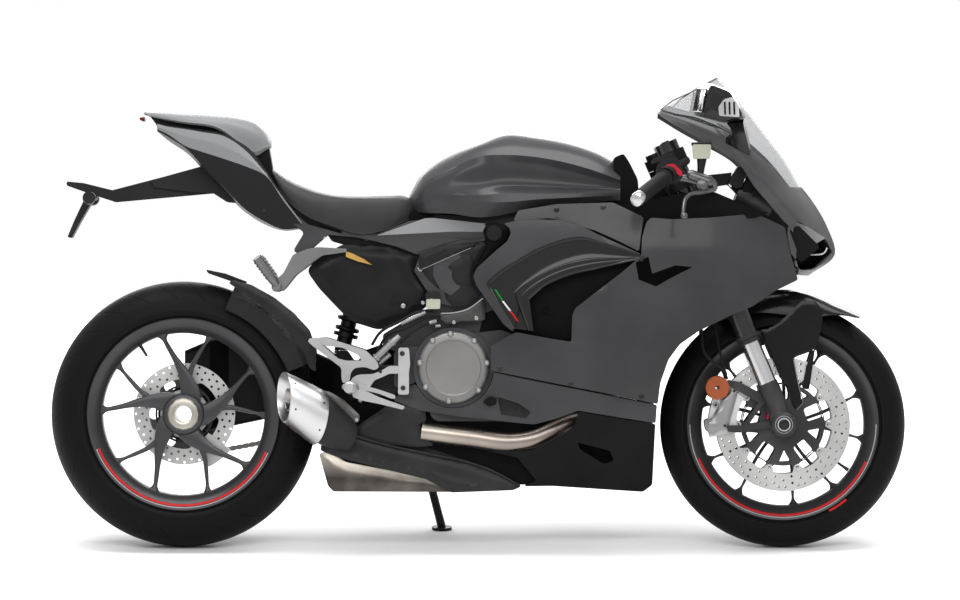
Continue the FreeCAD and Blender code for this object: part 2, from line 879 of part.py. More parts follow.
def make_front_mudguard():
    """An arched guard over the front tyre with a blade down the front of each fork leg."""
    inner = float(S.front_tyre_radius) + float(S.mudguard_gap)
    half = float(S.front_tyre_width) / 2 + 10
    wall = 4
    start = 52 - float(S.rake)
    end = 108 - float(S.rake)

    def arch(offset):
        radius = inner + offset
        return [(radius - 50, half + offset), (radius - 18, half + offset - 4), (radius, half * 0.45),
                (radius + 5, 0), (radius, -half * 0.45), (radius - 18, -half - offset + 4),
                (radius - 50, -half - offset)]

    turn = Rotation(Y_AXIS, -start)
    outline = arch(wall) + list(reversed(arch(0)))
    wire = Part.makePolygon([axle_in_steering + turn.multVec(Vector(radius, across, 0)) for radius, across in
                             outline + outline[:1]])
    guard = Part.Face(wire).revolve(axle_in_steering, -Y_AXIS, end - start)
    blades = []
    for side in (-1, 1):
        blade = plate([(1388, 575), (1392, 505), (1440, 400), (1478, 332), (1466, 440), (1503, 463),
                       (1499, 390), (1528, 541), (1480, 600)], side * (half + 3.5), side * (half + 6.5), 3,
                      move=steer_spot)
        lug = plate([(1466, 420), (1440, 402), (1402, 390), (1390, 368), (1402, 358), (1430, 356), (1462, 372)],
                    side * (half + 3.5), side * (half + 6.5), 5, move=steer_spot)
        boss = rod(steer_spot(1402, side * (half + 5), 373), steer_spot(1402, side * (half + 9.5), 373), 9)
        blades += [blade, lug, boss]
    piece("front_mudguard", joined([guard] + blades), steering_place)


make_front_mudguard()


def make_brake_hoses():
    """Two hoses from the calipers up to the lower yoke."""
    hoses = []
    for side in (-1, 1):
        route = [steer_spot(1283.3, side * 66, 391.1), steer_spot(1272, side * 70, 430),
                 steer_spot(1254, side * 76, 480), steer_spot(1243, side * 72, 540),
                 steer_spot(1236, side * 56, 610), steer_spot(1236, side * 40, 668)]
        hoses.append(pipe(route, 4, 40))
    piece("brake_hoses", bundle(hoses), steering_place)


make_brake_hoses()

# Chain, swingarm and rear brake

front_sprocket = Vector(along(640), 0, 375)


def belt_face(offset, near):
    """The area inside a belt round both sprockets, offset outward from the pitch line."""
    big = float(S.sprocket_radius) + offset
    small = float(S.front_sprocket_radius) + offset
    way = front_sprocket - rear_axle
    span = way.Length
    slope = math.atan2(way.z, way.x)
    lean_off = math.acos((big - small) / span)

    def at(centre, radius, angle):
        return centre + Vector(radius * math.cos(angle), near, radius * math.sin(angle))

    top = slope + lean_off
    low = slope - lean_off
    edges = [
        Part.Arc(at(rear_axle, big, top), at(rear_axle, big, slope + math.pi),
                 at(rear_axle, big, low)).toShape(),
        Part.LineSegment(at(rear_axle, big, low), at(front_sprocket, small, low)).toShape(),
        Part.Arc(at(front_sprocket, small, low), at(front_sprocket, small, slope),
                 at(front_sprocket, small, top)).toShape(),
        Part.LineSegment(at(front_sprocket, small, top), at(rear_axle, big, top)).toShape(),
    ]
    return Part.Face(Part.Wire(edges))


def belt(outer, inner, near, far):
    across = Vector(0, far - near, 0)
    return belt_face(outer, near).extrude(across).cut(belt_face(inner, near).extrude(across))


def make_chain():
    """A drive chain drawn as one loop: two rows of plates joined outside the teeth."""
    half = float(S.chain_height) / 2
    place = float(S.chain_place)
    reach = float(S.chain_width) / 2
    slot = float(S.sprocket_thickness) / 2 + 1
    web = TOOTH_RISE + 0.8
    right = belt(half, -half, place - reach, place - slot)
    left = belt(half, -half, place + slot, place + reach)
    middle = belt(half, web, place - slot, place + slot)
    piece("chain", joined([right, middle, left]))


make_chain()

pivot = Vector(along(float(S.pivot_forward)), 0, float(S.pivot_height))
PIVOT_RADIUS = 40
PIVOT_HALF = 108
CARRIER_RADIUS = 64


def make_swingarm():
    """A one-sided arm: hub carrier, tall beam outside the tyre and a wide pivot tube in front of it."""
    inner = float(S.arm_inner_place)
    outer = float(S.arm_outer_place)
    low = float(S.rear_tyre_radius) - 318
    stations = [
        (0, CARRIER_RIGHT + 8, CARRIER_LEFT, 268 + low, 470 + low),
        (60, 76, outer - 2, 276 + low, 496 + low),
        (105, inner, outer, 286 + low, 506 + low),
        (200, inner, outer, 306, 502),
        (295, inner, outer, 322, 474),
        (345, 40, outer, 336, 452),
        (400, -70, outer - 4, 346, 444),
        (460, -PIVOT_HALF, PIVOT_HALF, 358, 440),
        (535, -PIVOT_HALF, PIVOT_HALF, 364, 436),
    ]
    sections = [section(x, [(y1, z1), (y1, z0), (y0, z0), (y0, z1)], 14) for x, y0, y1, z0, z1 in stations]
    beam = loft(sections, True)
    axle = rear_axle
    carrier = Part.makeCylinder(CARRIER_RADIUS, CARRIER_LEFT - CARRIER_RIGHT, axle + Y_AXIS * CARRIER_RIGHT,
                                Y_AXIS)
    bore = Part.makeCylinder(float(S.spindle_radius + S.seat_gap), 400, axle, Y_AXIS)
    tube = Part.makeCylinder(PIVOT_RADIUS, 2 * PIVOT_HALF, pivot - Y_AXIS * PIVOT_HALF, Y_AXIS)
    spring_lug = plate([(330, 440), (372, 470), (392, 470), (420, 430)], 62, 88, 6)
    caliper_bracket = ring_sector(axle, 40, float(S.rear_disc_radius) + 14, -66, -40, CARRIER_RIGHT + 2,
                                  CARRIER_RIGHT + 12)
    hub_side = joined([beam, carrier, tube, spring_lug, caliper_bracket])
    piece("swingarm", hub_side.cut(bore))


make_swingarm()


def make_rear_caliper():
    near = float(DISC_CARRIER_RIGHT)
    far = near + float(S.disc_thickness)
    block = make_caliper(rear_axle, float(S.rear_disc_radius), -53, 30, near, far, near - 20,
                         CARRIER_RIGHT + 1.7)
    piece("rear_caliper", block)


make_rear_caliper()


def make_rear_hugger():
    """An arched guard over the rear tyre that runs forward to the swingarm."""
    inner = float(S.rear_tyre_radius) + float(S.mudguard_gap)
    wall = 3
    half = float(S.rear_tyre_width) / 2 + float(S.moving_gap) + 0.2

    def arch(offset, angle):
        radius = inner + offset
        turn = Rotation(Y_AXIS, -angle)
        corners = [(radius - 62, half + offset), (radius - 24, half + offset - 3), (radius, half * 0.5),
                   (radius + 8, 0), (radius, -half * 0.5), (radius - 24, -half - offset + 3),
                   (radius - 62, -half - offset)]
        return [rear_axle + turn.multVec(Vector(r, a, 0)) for r, a in corners]

    outline = arch(wall, 22) + list(reversed(arch(0, 22)))
    guard = Part.Face(Part.makePolygon(outline + outline[:1])).revolve(rear_axle, -Y_AXIS, 46)
    tongue = plate([(52, 665), (60, 655), (115, 636), (150, 628), (150, 636), (100, 655)], -34, 34, 3)
    return piece("rear_hugger", joined([guard, tongue]))


make_rear_hugger()

# Side stand

stand_pivot = spot(560, 128, 268)
FOOT_OUT = 212
FOOT_FORWARD = 618
FOLDED_WAY = Vector(-253, 34, -29)
ground_drop = rear_crown * (1 - math.cos(math.radians(lean_angle)))


def ground_height(across):
    """Height of the floor at a place across the bike while it leans, in the upright frame."""
    lean = math.radians(lean_angle)
    return (across * math.sin(lean) - ground_drop) / math.cos(lean)


stand_foot = Vector(along(FOOT_FORWARD), FOOT_OUT, ground_height(FOOT_OUT))
stand_way = (stand_foot - stand_pivot).normalize()
stand_axis = stand_way.cross(Vector(FOLDED_WAY).normalize()).normalize()
stand_swing = math.degrees(stand_way.getAngle(FOLDED_WAY))


def make_side_stand():
    """A leg hinged at the lower left of the engine, with a flat foot on the floor."""
    upright = Rotation(X_AXIS, lean_angle)
    down = upright.multVec(Z_AXIS)
    sole = Part.makeCylinder(24, 7, stand_foot, down)
    ankle = stand_foot + down * 6
    leg = rod(ankle, stand_pivot + stand_way * 24, 10)
    eye = Part.makeCylinder(18, 16, stand_pivot - stand_axis * 8, stand_axis)
    slab = Part.makeCylinder(60, 16, stand_pivot - stand_axis * 8, stand_axis)
    root = rod(stand_pivot, stand_pivot + stand_way * 38, 13).common(slab)
    hole = Part.makeCylinder(6.3, 60, stand_pivot - stand_axis * 30, stand_axis)
    piece("side_stand", joined([sole, leg, eye, root]).cut(hole))


def make_stand_bracket():
    """The bracket that carries the stand's hinge bolt below the engine."""
    bolt = Part.makeCylinder(6, 44, stand_pivot - stand_axis * 22, stand_axis)
    cheeks = [Part.makeCylinder(17, 8, stand_pivot + stand_axis * offset, stand_axis)
              for offset in (8.5, -16.5)]
    rise = spot(604, 100, 318) - stand_pivot
    arms = [rod(stand_pivot + stand_axis * offset, stand_pivot + stand_axis * offset + rise, 6)
            for offset in (15.6, -15.6)]
    return [bolt] + cheeks + arms


make_side_stand()

# Engine and frame


SPROCKET_CAP = [(590, 345), (640, 318), (700, 330), (712, 400), (680, 432), (610, 430)]


def make_engine():
    """A V-twin as plain masses: crankcase, both cylinders, side cases, rear lugs and the stand's bracket,
    with a raised cover on each side of the rear cylinder's head."""
    crankcase = plate([(584, 500), (592, 302), (880, 302), (900, 340), (880, 480), (760, 520)], -112, 112, 24)
    sump = plate([(600, 320), (640, 262), (700, 240), (850, 240), (880, 320)], -82, 82, 20)
    front_cylinder = plate([(860, 335), (1040, 365), (1052, 490), (870, 490)], -95, 95, 24)
    rear_cylinder = plate([(600, 480), (760, 480), (752, 640), (735, 708), (592, 738)], -95, 95, 16)
    rear_case = plate([(478, 482), (478, 510), (548, 552), (620, 575), (620, 470), (505, 470)], -90, 90, 10)
    head_covers = [plate([(566, 696), (594, 706), (640, 718), (704, 727), (702, 704), (677, 653), (690, 610),
                          (651, 575), (614, 584), (582, 616), (553, 662)], side * 94, side * 114, 8)
                   for side in (-1, 1)]
    cam_covers = [plate([(600, 690), (655, 704), (672, 690), (655, 655), (664, 622), (640, 602), (616, 616),
                         (598, 650)], side * 113, side * 119, 8) for side in (-1, 1)]
    right_case = Part.makeCylinder(float(S.clutch_cover_radius + S.clutch_case_wall), 24,
                                   Vector(along(float(S.clutch_cover_forward)), -112,
                                          float(S.clutch_cover_height)),
                                   -Y_AXIS)
    left_case = Part.makeCylinder(78, 22, Vector(along(770), 111, 400), Y_AXIS)
    sprocket = Part.makeCylinder(float(S.front_sprocket_radius) + 3, float(S.sprocket_thickness),
                                 front_sprocket + Y_AXIS * float(S.chain_place - S.sprocket_thickness / 2),
                                 Y_AXIS)
    shaft = Part.makeCylinder(18, 60, front_sprocket + Y_AXIS * 100, Y_AXIS)
    cap = plate(SPROCKET_CAP, 152, 157, 14)
    lugs = [plate([(505, 388), (520, 378), (600, 416), (600, 480), (540, 480), (505, 470)],
                  side * (PIVOT_HALF + 2.3), side * 122, 12) for side in (-1, 1)]
    whole = joined([crankcase, sump, front_cylinder, rear_cylinder, rear_case, right_case, left_case, sprocket,
                    shaft, cap] + lugs + head_covers + cam_covers + make_stand_bracket())
    return piece("engine_block", whole)


engine = make_engine()


def make_clutch_cover():
    """A turned clutch cover with a stepped rim and four lugs."""
    radius = S.clutch_cover_radius
    body = new_body("clutch_cover")
    revolve(body, "cover_turning", [
        (0, 0),
        (radius + 2, 0),
        (radius + 2, 10),
        (radius - 4, 18),
        (radius - 10, 22),
        (0, 24),
    ])
    place = Placement(Vector(along(float(S.clutch_cover_forward)), -136.3, float(S.clutch_cover_height)),
                      Rotation(Z_AXIS, 180))
    add_node("clutch_cover", body, place)


make_clutch_cover()


BOSS_RADIUS = 18


def seat_boss(across):
    """Where the seat rails meet the frame."""
    return spot(744, across, 752)


def make_frame():
    """The airbox frame under the tank with its head tube, and the side bosses that hold the seat rails."""
    sections = [
        section(600, [(80, 806), (80, 745), (-80, 745), (-80, 806)], 10),
        section(760, [(95, 814), (100, 712), (-100, 712), (-95, 814)], 16),
        section(960, [(85, 838), (85, 660), (-85, 660), (-85, 838)], 16),
        section(1064, [(52, 838), (50, 690), (-50, 690), (-52, 838)], 16),
    ]
    box = loft(sections, True).cut(tank.Shape)
    lower = float(S.lower_yoke_height) + YOKE_THICKNESS + 14 + 1
    upper = float(S.upper_yoke_height) - YOKE_THICKNESS - 1
    head = Part.makeCylinder(float(S.head_tube_radius), upper - lower, Vector(0, 0, lower), Z_AXIS)
    head.Placement = steering_place.multiply(head.Placement)
    neck = loft([section(1060, [(50, 826), (48, 695), (-48, 695), (-50, 826)], 12),
                 section(1150, [(26, 860), (26, 790), (-26, 790), (-26, 860)], 8)], True)
    hollow = Part.makeCylinder(float(S.stem_radius + S.seat_gap), 800, Vector(0, 0, 300), Z_AXIS)
    hollow.Placement = steering_place.multiply(hollow.Placement)
    bosses = [Part.makeCylinder(BOSS_RADIUS, 24, seat_boss(side * 96), Y_AXIS * side) for side in (-1, 1)]
    stay = plate([(1190, 850), (1304, 868), (1420, 745), (1442, 740), (1442, 764), (1320, 898), (1200, 885)],
                 -24, 24, 8)
    cross_bar = plate([(1434, 738), (1445.6, 738), (1445.6, 762), (1434, 762)], -121.5, 121.5, 2)
    front = joined([stay, cross_bar]).cut(nose.Shape).cut(dash.Shape).cut(lamps.Shape)
    piece("main_frame", joined([box, head, neck, front] + bosses).cut(hollow))


# Exhaust


def make_exhaust_pipes():
    """The header that runs back along the right side, below the fairing's edge."""
    route = [spot(586, -100, 276), spot(690, -112, 263), spot(800, -114, 250), spot(880, -110, 276),
             spot(950, -86, 302), spot(1002, -50, 312), spot(1006, -46, 380)]
    outer = float(S.header_radius)
    tube = pipe(route, outer, 110, outer - 2).cut(engine.Shape)
    bead = rod(spot(888, -107.5, 281), spot(893, -106, 284), outer + 4)
    piece("exhaust_pipes", joined([tube, bead.cut(rod(spot(870, -114, 272), spot(910, -98, 296),
                                                      outer)).cut(engine.Shape)]))


def make_exhaust_box():
    """The box under the engine with its side covers and the twin outlets on the right."""
    core = plate([(330, 225), (358, 140), (636, 134), (680, 133), (790, 150), (735, 190), (600, 232),
                  (420, 272)],
                 -92, 92, 12)
    cover = plate([(345, 345), (400, 276), (560, 245), (690, 203), (750, 178), (808, 147), (790, 135),
                   (640, 132), (582, 164), (388, 210), (332, 229)], -112, -91, 6)
    left_cover = mirror(cover)
    shield = plate([(392, 276), (484, 338), (540, 346), (578, 338), (578, 300), (556, 288), (556, 262),
                    (578, 246), (400, 262)], -108, -40, 5)
    outlet = spot(242, -168, 359)
    back = spot(330, -150, 309)
    silencer = rod(outlet, back, S.silencer_radius)
    bore = rod(outlet - (back - outlet) * 0.1, outlet + (back - outlet) * 0.75, S.silencer_radius - 3)
    neck = Part.makeCone(float(S.silencer_radius), 34, 56, back, Vector(1, 0.35, -0.5))
    shape = joined([core, cover, left_cover, shield, silencer.cut(bore), neck])
    piece("exhaust_box", shape)


make_exhaust_pipes()
make_exhaust_box()

# Tank, seat and tail


def hull(stations, radius, ruled=False):
    """A body through stations of (x, left corners from the top down)."""
    return loft([section(x, mirrored_corners(half), radius) for x, half in stations], ruled)


def make_tank():
    return piece("fuel_tank", hull([
        (543, [(26, 846), (52, 836), (60, 815), (50, 805)]),
        (590, [(52, 908), (88, 872), (98, 825), (86, 800)]),
        (680, [(78, 958), (132, 915), (150, 850), (112, 793)]),
        (790, [(82, 986), (148, 930), (158, 862), (120, 806)]),
        (900, [(74, 974), (140, 915), (148, 858), (120, 824)]),
        (1000, [(58, 944), (112, 900), (122, 856), (100, 828)]),
        (1052, [(40, 912), (84, 882), (92, 850), (80, 832)]),
    ], 16))


def make_seat():
    cushion = hull([
        (216, [(56, 906), (72, 904), (78, 900.5), (72, 897.5)]),
        (290, [(66, 862), (100, 852), (108, 830), (98, 803)]),
        (380, [(76, 840), (120, 826), (126, 795), (112, 762)]),
        (470, [(74, 838), (116, 822), (122, 792), (108, 764)]),
        (530, [(50, 840), (66, 828), (76, 803), (68, 790)]),
        (570, [(30, 822), (44, 816), (54, 803), (48, 794)]),
    ], 10)
    return piece("rider_seat", cushion.cut(tail.Shape).cut(tank.Shape))


def make_tail():
    piece("passenger_pad", hull([
        (-95, [(30, 1042), (50, 1041), (62, 1038), (62, 1033.5)]),
        (0, [(48, 1036), (76, 1030), (88, 1018), (84, 1008)]),
        (100, [(54, 1031), (86, 1022), (100, 1002), (94, 981)]),
        (200, [(50, 996), (74, 985), (86, 950), (78, 922)]),
    ], 5))
    return piece("tail_cowl", hull([
        (-92, [(60, 1032), (76, 1030), (80, 1024), (66, 1018)]),
        (0, [(66, 1006), (92, 998), (98, 968), (60, 950)]),
        (100, [(70, 978), (108, 966), (116, 905), (66, 842)]),
        (190, [(72, 928), (110, 910), (122, 850), (80, 788)]),
        (282, [(78, 796), (100, 790), (108, 776), (90, 762)]),
    ], 8))


def make_tail_lamp():
    piece("tail_lamp", plate([(-92.4, 1030), (-92.4, 1018), (-103, 1022), (-106, 1028)], -52, 52, 2))


tank = make_tank()
tail = make_tail()
make_tail_lamp()
seat = make_seat()


TIE_RADIUS = 9


def make_subframe():
    """The seat rails: a plate on each side tied together under the seat."""
    rails = []
    for side in (-1, 1):
        rail = plate([(230, 830), (236, 796), (290, 752), (262, 706), (290, 700), (345, 748), (466, 736),
                      (560, 700), (640, 722), (744, 736), (744, 768), (650, 772), (593, 786), (540, 780),
                      (466, 750), (380, 750), (300, 772)],
                     side * 95.3, side * 108, 8)
        boss_room = Part.makeCylinder(BOSS_RADIUS + float(S.seat_gap), 60, seat_boss(side * 70), Y_AXIS * side)
        box_room = plate([(712, 700), (780, 700), (780, 800), (712, 800)], side * 60, side * 100.3, 2)
        rails.append(rail.cut(boss_room).cut(box_room))
    ties = [rod(spot(x, -97, z), spot(x, 97, z), TIE_RADIUS) for x, z in ((330, 748), (440, 742))]
    pads = [rod(spot(440, side * 46, 742), spot(440, side * 46, 790), 10) for side in (-1, 1)]
    whole = joined(rails + ties + pads).cut(tail.Shape).cut(seat.Shape)
    piece("subframe", max(whole.Solids, key=lambda solid: solid.Volume))


make_subframe()


def make_plate_holder():
    """The arm behind the tail with its indicator stalks and the bare plate's bracket."""
    arm = plate([(44, 900), (-60, 884), (-171, 855), (-240, 872), (-281, 876), (-281, 866), (-236, 850),
                 (-200, 838), (-163, 826), (80, 848), (60, 880)], -20, 20, 6)
    bracket = plate([(-235, 838), (-262, 781), (-278, 742), (-268, 740), (-246, 781), (-216, 832)], -48, 48, 3)
    stalk = rod(spot(-215, -92, 838), spot(-215, 92, 838), 7)
    lamps = [rod(spot(-223, side * 92, 836), spot(-223, side * 136, 836), 15) for side in (-1, 1)]
    piece("plate_holder", joined([arm, bracket, stalk] + lamps).cut(tail.Shape))


make_plate_holder()

# Fairings


def half_width(x, z):
    """Half the width of the fairing's skin at a place in the side view."""
    ahead = max(x - 1080, 0)
    behind = max(1080 - x, 0)
    below = max(620 - z, 0) / 480
    above = max(z - 620, 0)
    return (float(S.fairing_half_width) - 0.00055 * ahead ** 2 - 0.0002 * behind ** 2
            - 95 * below ** 2.4 - 0.0004 * above ** 2)


def skin(inset, x0, x1, z0, z1, steps=7, wall=S.panel_thickness):
    """A wall that follows the fairing's skin on the right side."""
    grid = []
    for i in range(steps):
        x = x0 + (x1 - x0) * i / (steps - 1)
        grid.append([spot(x, -half_width(x, z0 + (z1 - z0) * j / (steps - 1)) + float(inset),
                          z0 + (z1 - z0) * j / (steps - 1)) for j in range(steps)])
    return smooth_surface(grid).toShape().extrude(Y_AXIS * float(wall))


def tub(outline, floor, depth, wall):
    """A shallow duct behind an opening: walls along the outline and a floor, all following the skin."""
    xs = [x for x, z in outline]
    zs = [z for x, z in outline]
    box = (min(xs) - 10, max(xs) + 10, min(zs) - 10, max(zs) + 10)
    back = S.panel_thickness + S.seat_gap
    block = skin(back, *box, wall=depth).common(plate(outline, -400, 0, 6))
    hollow = skin(back - 5, *box, wall=depth + 5 - wall).common(plate(floor, -400, 0, 4))
    return block.cut(hollow)


def panel(outline, inset=0, radius=6, cuts=()):
    """The part of the skin inside an outline drawn in the side view."""
    xs = [x for x, z in outline]
    zs = [z for x, z in outline]
    wall = skin(inset, min(xs) - 10, max(xs) + 10, min(zs) - 10, max(zs) + 10)
    cutter = plate(outline, -400, 0, radius)
    shape = wall.common(cutter)
    for cut in cuts:
        shape = shape.cut(cut)
    return shape


def both_sides(name, right, left_cut=None):
    piece(f"{name}_right", right)
    left = mirror(right)
    piece(f"{name}_left", left.cut(left_cut) if left_cut else left)


clutch_opening = Part.makeCylinder(float(S.clutch_cover_radius) + 12, 200,
                                   Vector(along(float(S.clutch_cover_forward)), -50,
                                          float(S.clutch_cover_height)),
                                   -Y_AXIS)
slot_opening = plate([(942, 252), (1020, 232), (1030, 208), (1006, 200), (948, 236)], -300, 0, 5)

side_fairing = panel([
    (1094, 697), (1046, 656), (937, 572), (950, 486), (796, 515), (736, 482), (736, 421), (1134, 341),
    (1140, 394), (1159, 449), (1186, 486), (1232, 518), (1306, 554), (1361, 577), (1416, 614), (1470, 640),
    (1452, 700), (1440, 766), (1369, 798), (1165, 784), (1106, 786), (1096, 740),
])
top_strip = panel([(801, 805), (893, 820), (1027, 824), (1102, 786), (1090, 706), (985, 756), (875, 786),
                   (790, 779)],
                  inset=0)
both_sides("side_fairing", bundle([side_fairing, top_strip]))

wing = panel([(786, 784), (875, 791), (985, 761), (1090, 710), (1046, 693), (911, 656), (823, 594), (838, 510),
              (779, 516), (700, 633), (700, 656), (729, 682)], inset=-4.6)
duct = tub([(1112, 700), (955, 560), (966, 474), (790, 503), (806, 602), (902, 672), (1040, 708), (1100, 714)],
           [(1100, 700), (949, 568), (960, 480), (794, 508), (811, 598), (905, 667), (1042, 703), (1094, 708)],
           36, 3)
both_sides("wing_panel", bundle([wing, duct]))

lower_fairing = panel([
    (734, 420.8), (1130, 341.2), (1127, 294), (1122, 150), (1100, 133), (884, 147), (815, 146), (845, 160),
    (800, 215), (720, 232), (830, 232), (900, 262), (942, 300), (836, 298), (715, 304),
    (610, 320), (503, 352), (540, 380), (600, 400), (700, 410),
], cuts=[clutch_opening, slot_opening])
cap_room = plate([(584, 341), (638, 311), (706, 325), (718, 404), (684, 438), (604, 436)], 120, 163, 14)
chain_room = joined([belt_face(float(S.chain_height) / 2 + 12, 100).extrude(Y_AXIS * 60), cap_room])
both_sides("lower_fairing", lower_fairing, chain_room)

# Nose, screen and what they carry


def nose_grid():
    """Rows from the chin up to the screen, each across the nose from one cockpit edge to the other."""
    rows = [
        (650, (1498, 1480, 1466, 1452, 1440), (0, 48, 82, 112, 133)),
        (702, (1562, 1520, 1490, 1462, 1430), (0, 56, 92, 118, 136)),
        (766, (1544, 1504, 1470, 1430, 1378), (0, 60, 102, 132, 149)),
        (820, (1514, 1478, 1440, 1396, 1330), (0, 62, 107, 138, 156)),
        (862, (1482, 1450, 1412, 1366, 1300), (0, 62, 107, 138, 158)),
    ]
    grid = []
    for z, xs, ys in rows:
        left = [spot(x, y, z) for x, y in zip(xs, ys)]
        right = [Vector(point.x, -point.y, point.z) for point in reversed(left[1:])]
        grid.append(right + left)
    return grid


def make_nose():
    shell = thick_patch(nose_grid(), S.panel_thickness)
    opening = plate([(1452, 726), (1446, 764), (1474, 780), (1552, 722), (1480, 668)], 30, 300, 8)
    rim_cut = plate([(1250, 630), (1473, 630), (1470.6, 641), (1452.6, 700.6), (1440.6, 766.6), (1369, 799),
                     (1362, 869), (1300, 902), (1250, 902)], 0, 300, 2)
    cheek = thick_patch([
        [spot(1140, 172, 1030), spot(1200, 178, 1002), spot(1279, 176, 948), spot(1364, 139, 859)],
        [spot(1145, 171, 1036), spot(1215, 173, 1014), spot(1320, 156, 955), spot(1408, 108, 859)],
        [spot(1150, 160, 1041), spot(1232, 160, 1017), spot(1345, 134, 956), spot(1441, 74, 859)],
    ], S.panel_thickness)
    for cutter in (opening, rim_cut):
        shell = shell.cut(cutter).cut(mirror(cutter))
    return piece("nose_cowl", joined([shell, cheek, mirror(cheek)]))


def make_windscreen():
    """A clear bubble screen, swept back at its sides."""
    middle = [(1284, 1126), (1338, 1064), (1388, 1000), (1438, 932), (1484, 861)]
    edge = [(1150, 1044), (1225, 1024), (1302, 990), (1380, 930), (1452, 861)]
    widths = (160, 162, 148, 118, 76)
    grid = []
    for (xm, zm), (xe, ze), width in zip(middle, edge, widths):
        row = []
        for step in range(-4, 5):
            share = step / 4
            bend = abs(share) ** 2.2
            row.append(spot(xm + (xe - xm) * bend, width * share, zm + (ze - zm) * bend))
        grid.append(row)
    piece("windscreen", thick_patch(grid, -float(S.screen_thickness)).cut(nose.Shape))


def make_headlamps():
    left = plate([(1448, 722), (1446, 758), (1472, 770), (1524, 718), (1476, 680)], 44, 100, 8)
    return piece("headlamps", bundle([left, mirror(left)]))


def make_mirrors():
    for side, label in ((1, "mirror_left"), (-1, "mirror_right")):
        head = loft([rounded([spot(1222 + 0.10 * (y - 230), y, z0), spot(1222 + 0.10 * (y - 230), y, z1),
                              spot(x1, y, z1 - 8), spot(x1, y, z0 + 10)], 10)
                     for y, x1, z0, z1 in ((228, 1300, 1030, 1090), (270, 1332, 1020, 1104),
                                           (345, 1300, 1040, 1098))])
        stalk = pipe([spot(1330, 160, 930), spot(1318, 186, 975), spot(1290, 230, 1040), spot(1290, 250, 1060)],
                     10, 30)
        shape = max(joined([head, stalk]).cut(nose.Shape).Solids, key=lambda solid: solid.Volume)
        piece(label, shape if side > 0 else mirror(shape))


def make_dash():
    return piece("dashboard", plate([(1305, 861), (1327, 866), (1340, 910), (1318, 913)], -82, 82, 6))


def make_radiator():
    """A curved radiator behind the front wheel."""
    core = plate([(1082, 340), (1118, 340), (1150, 470), (1158, 640), (1122, 640), (1112, 470)], -128, 128, 8)
    pins = [rod(spot(1030, side * 60, 440), spot(1106, side * 60, 440), 8) for side in (-1, 1)]
    piece("radiator", joined([core] + pins).cut(engine.Shape))


nose = make_nose()
make_windscreen()
lamps = make_headlamps()
make_mirrors()
dash = make_dash()
make_radiator()
make_frame()

# Footrests, shock and the cover over the rear cylinder


def make_footrest(side, label):
    """A rider's footrest set: plate, arm, heel guard, pedal and peg, with the passenger's peg above."""
    near = -152
    plates = [
        plate([(514, 384), (541, 384), (541, 476), (514, 476)], near - 8, near, 7),
        plate([(520, 418), (426, 396), (398, 366), (384, 380), (392, 404), (430, 426), (520, 444)], near - 8,
              near, 6),
        plate([(301, 493), (334, 502), (445, 462), (468, 431), (383, 398), (366, 404), (358, 467)], near - 13,
              near - 8, 8),
        plate([(402, 372), (407, 356), (470, 346), (529, 332), (531, 340), (470, 360)], near - 26, near - 16,
              4),
    ]
    slot = plate([(334, 488), (424, 462), (430, 448), (376, 452)], near - 20, near, 6)
    plates[2] = plates[2].cut(slot)
    hinge = rod(spot(400, near, 384), spot(400, near - 30, 384), 16)
    peg = rod(spot(400, near - 28, 384), spot(400, near - 98, 384), 13)
    spacers = [rod(spot(527, -122.3, z), spot(527, near, z), 9) for z in (392, 462)]
    rider = joined(plates + [hinge, peg] + spacers)
    bracket = plate([(224, 613), (252, 646), (290, 668), (334, 698), (392, 706), (392, 716), (321, 718),
                     (300, 716), (263, 704), (230, 651)], -126, -116, 4)
    foot_pad = rod(spot(225, -126, 628), spot(178, -158, 692), 14)
    joint = rod(spot(225, -116, 623), spot(225, -140, 623), 14)
    tie = rod(spot(290, -108.3, 708), spot(290, -126, 708), 8)
    passenger = joined([bracket, foot_pad, joint, tie])
    shape = bundle([rider, passenger])
    piece(label, shape if side < 0 else mirror(shape))


make_footrest(-1, "footrests_right")
make_footrest(1, "footrests_left")


def make_shock():
    """A shock absorber with its spring, between the swingarm's lug and the seat rails."""
    low = spot(374, 75, 452)
    high = spot(444, 75, 740)
    way = (high - low).normalize()
    body = rod(low, high, 19)
    coils = []
    for step in range(6):
        centre = low + way * (72 + step * 24)
        coils.append(Part.makeTorus(24, 6, centre, way))
    caps = [rod(low + way * 52, low + way * 62, 30), rod(low + way * 202, low + way * 214, 30)]
    tank = rod(spot(404, 75, 704), spot(462, 75, 676), 16)
    lug_room = plate([(300, 400), (460, 400), (460, 470.3), (300, 470.3)], 0, 140, 1)
    tie_room = rod(spot(440, 40, 742), spot(440, 110, 742), TIE_RADIUS + float(S.seat_gap))
    piece("shock_absorber", joined([body, tank] + coils + caps).cut(lug_room).cut(tie_room))


make_shock()


def make_rear_cover():
    """The moulded cover beside the rear cylinder's exhaust, under the seat."""
    cover = plate([(291, 662), (314, 689), (364, 712), (383, 726), (475, 722), (604, 692), (604, 560),
                   (470, 516), (406, 535), (378, 560), (323, 620)], -94, -20, 16)
    piece("rear_cover", cover.cut(engine.Shape))


make_rear_cover()

# Standing the bike on its stand, checking it and writing the files

doc.recompute()
for item in doc.Objects:
    if "Invalid" in item.State or "Error" in item.State:
        raise RuntimeError(f"{item.Label} failed: {item.State}")

lean_place = Placement(Vector(0, 0, 0), Rotation(X_AXIS, -lean_angle))
for item, place in nodes.values():
    item.Placement = lean_place.multiply(place)
doc.recompute()

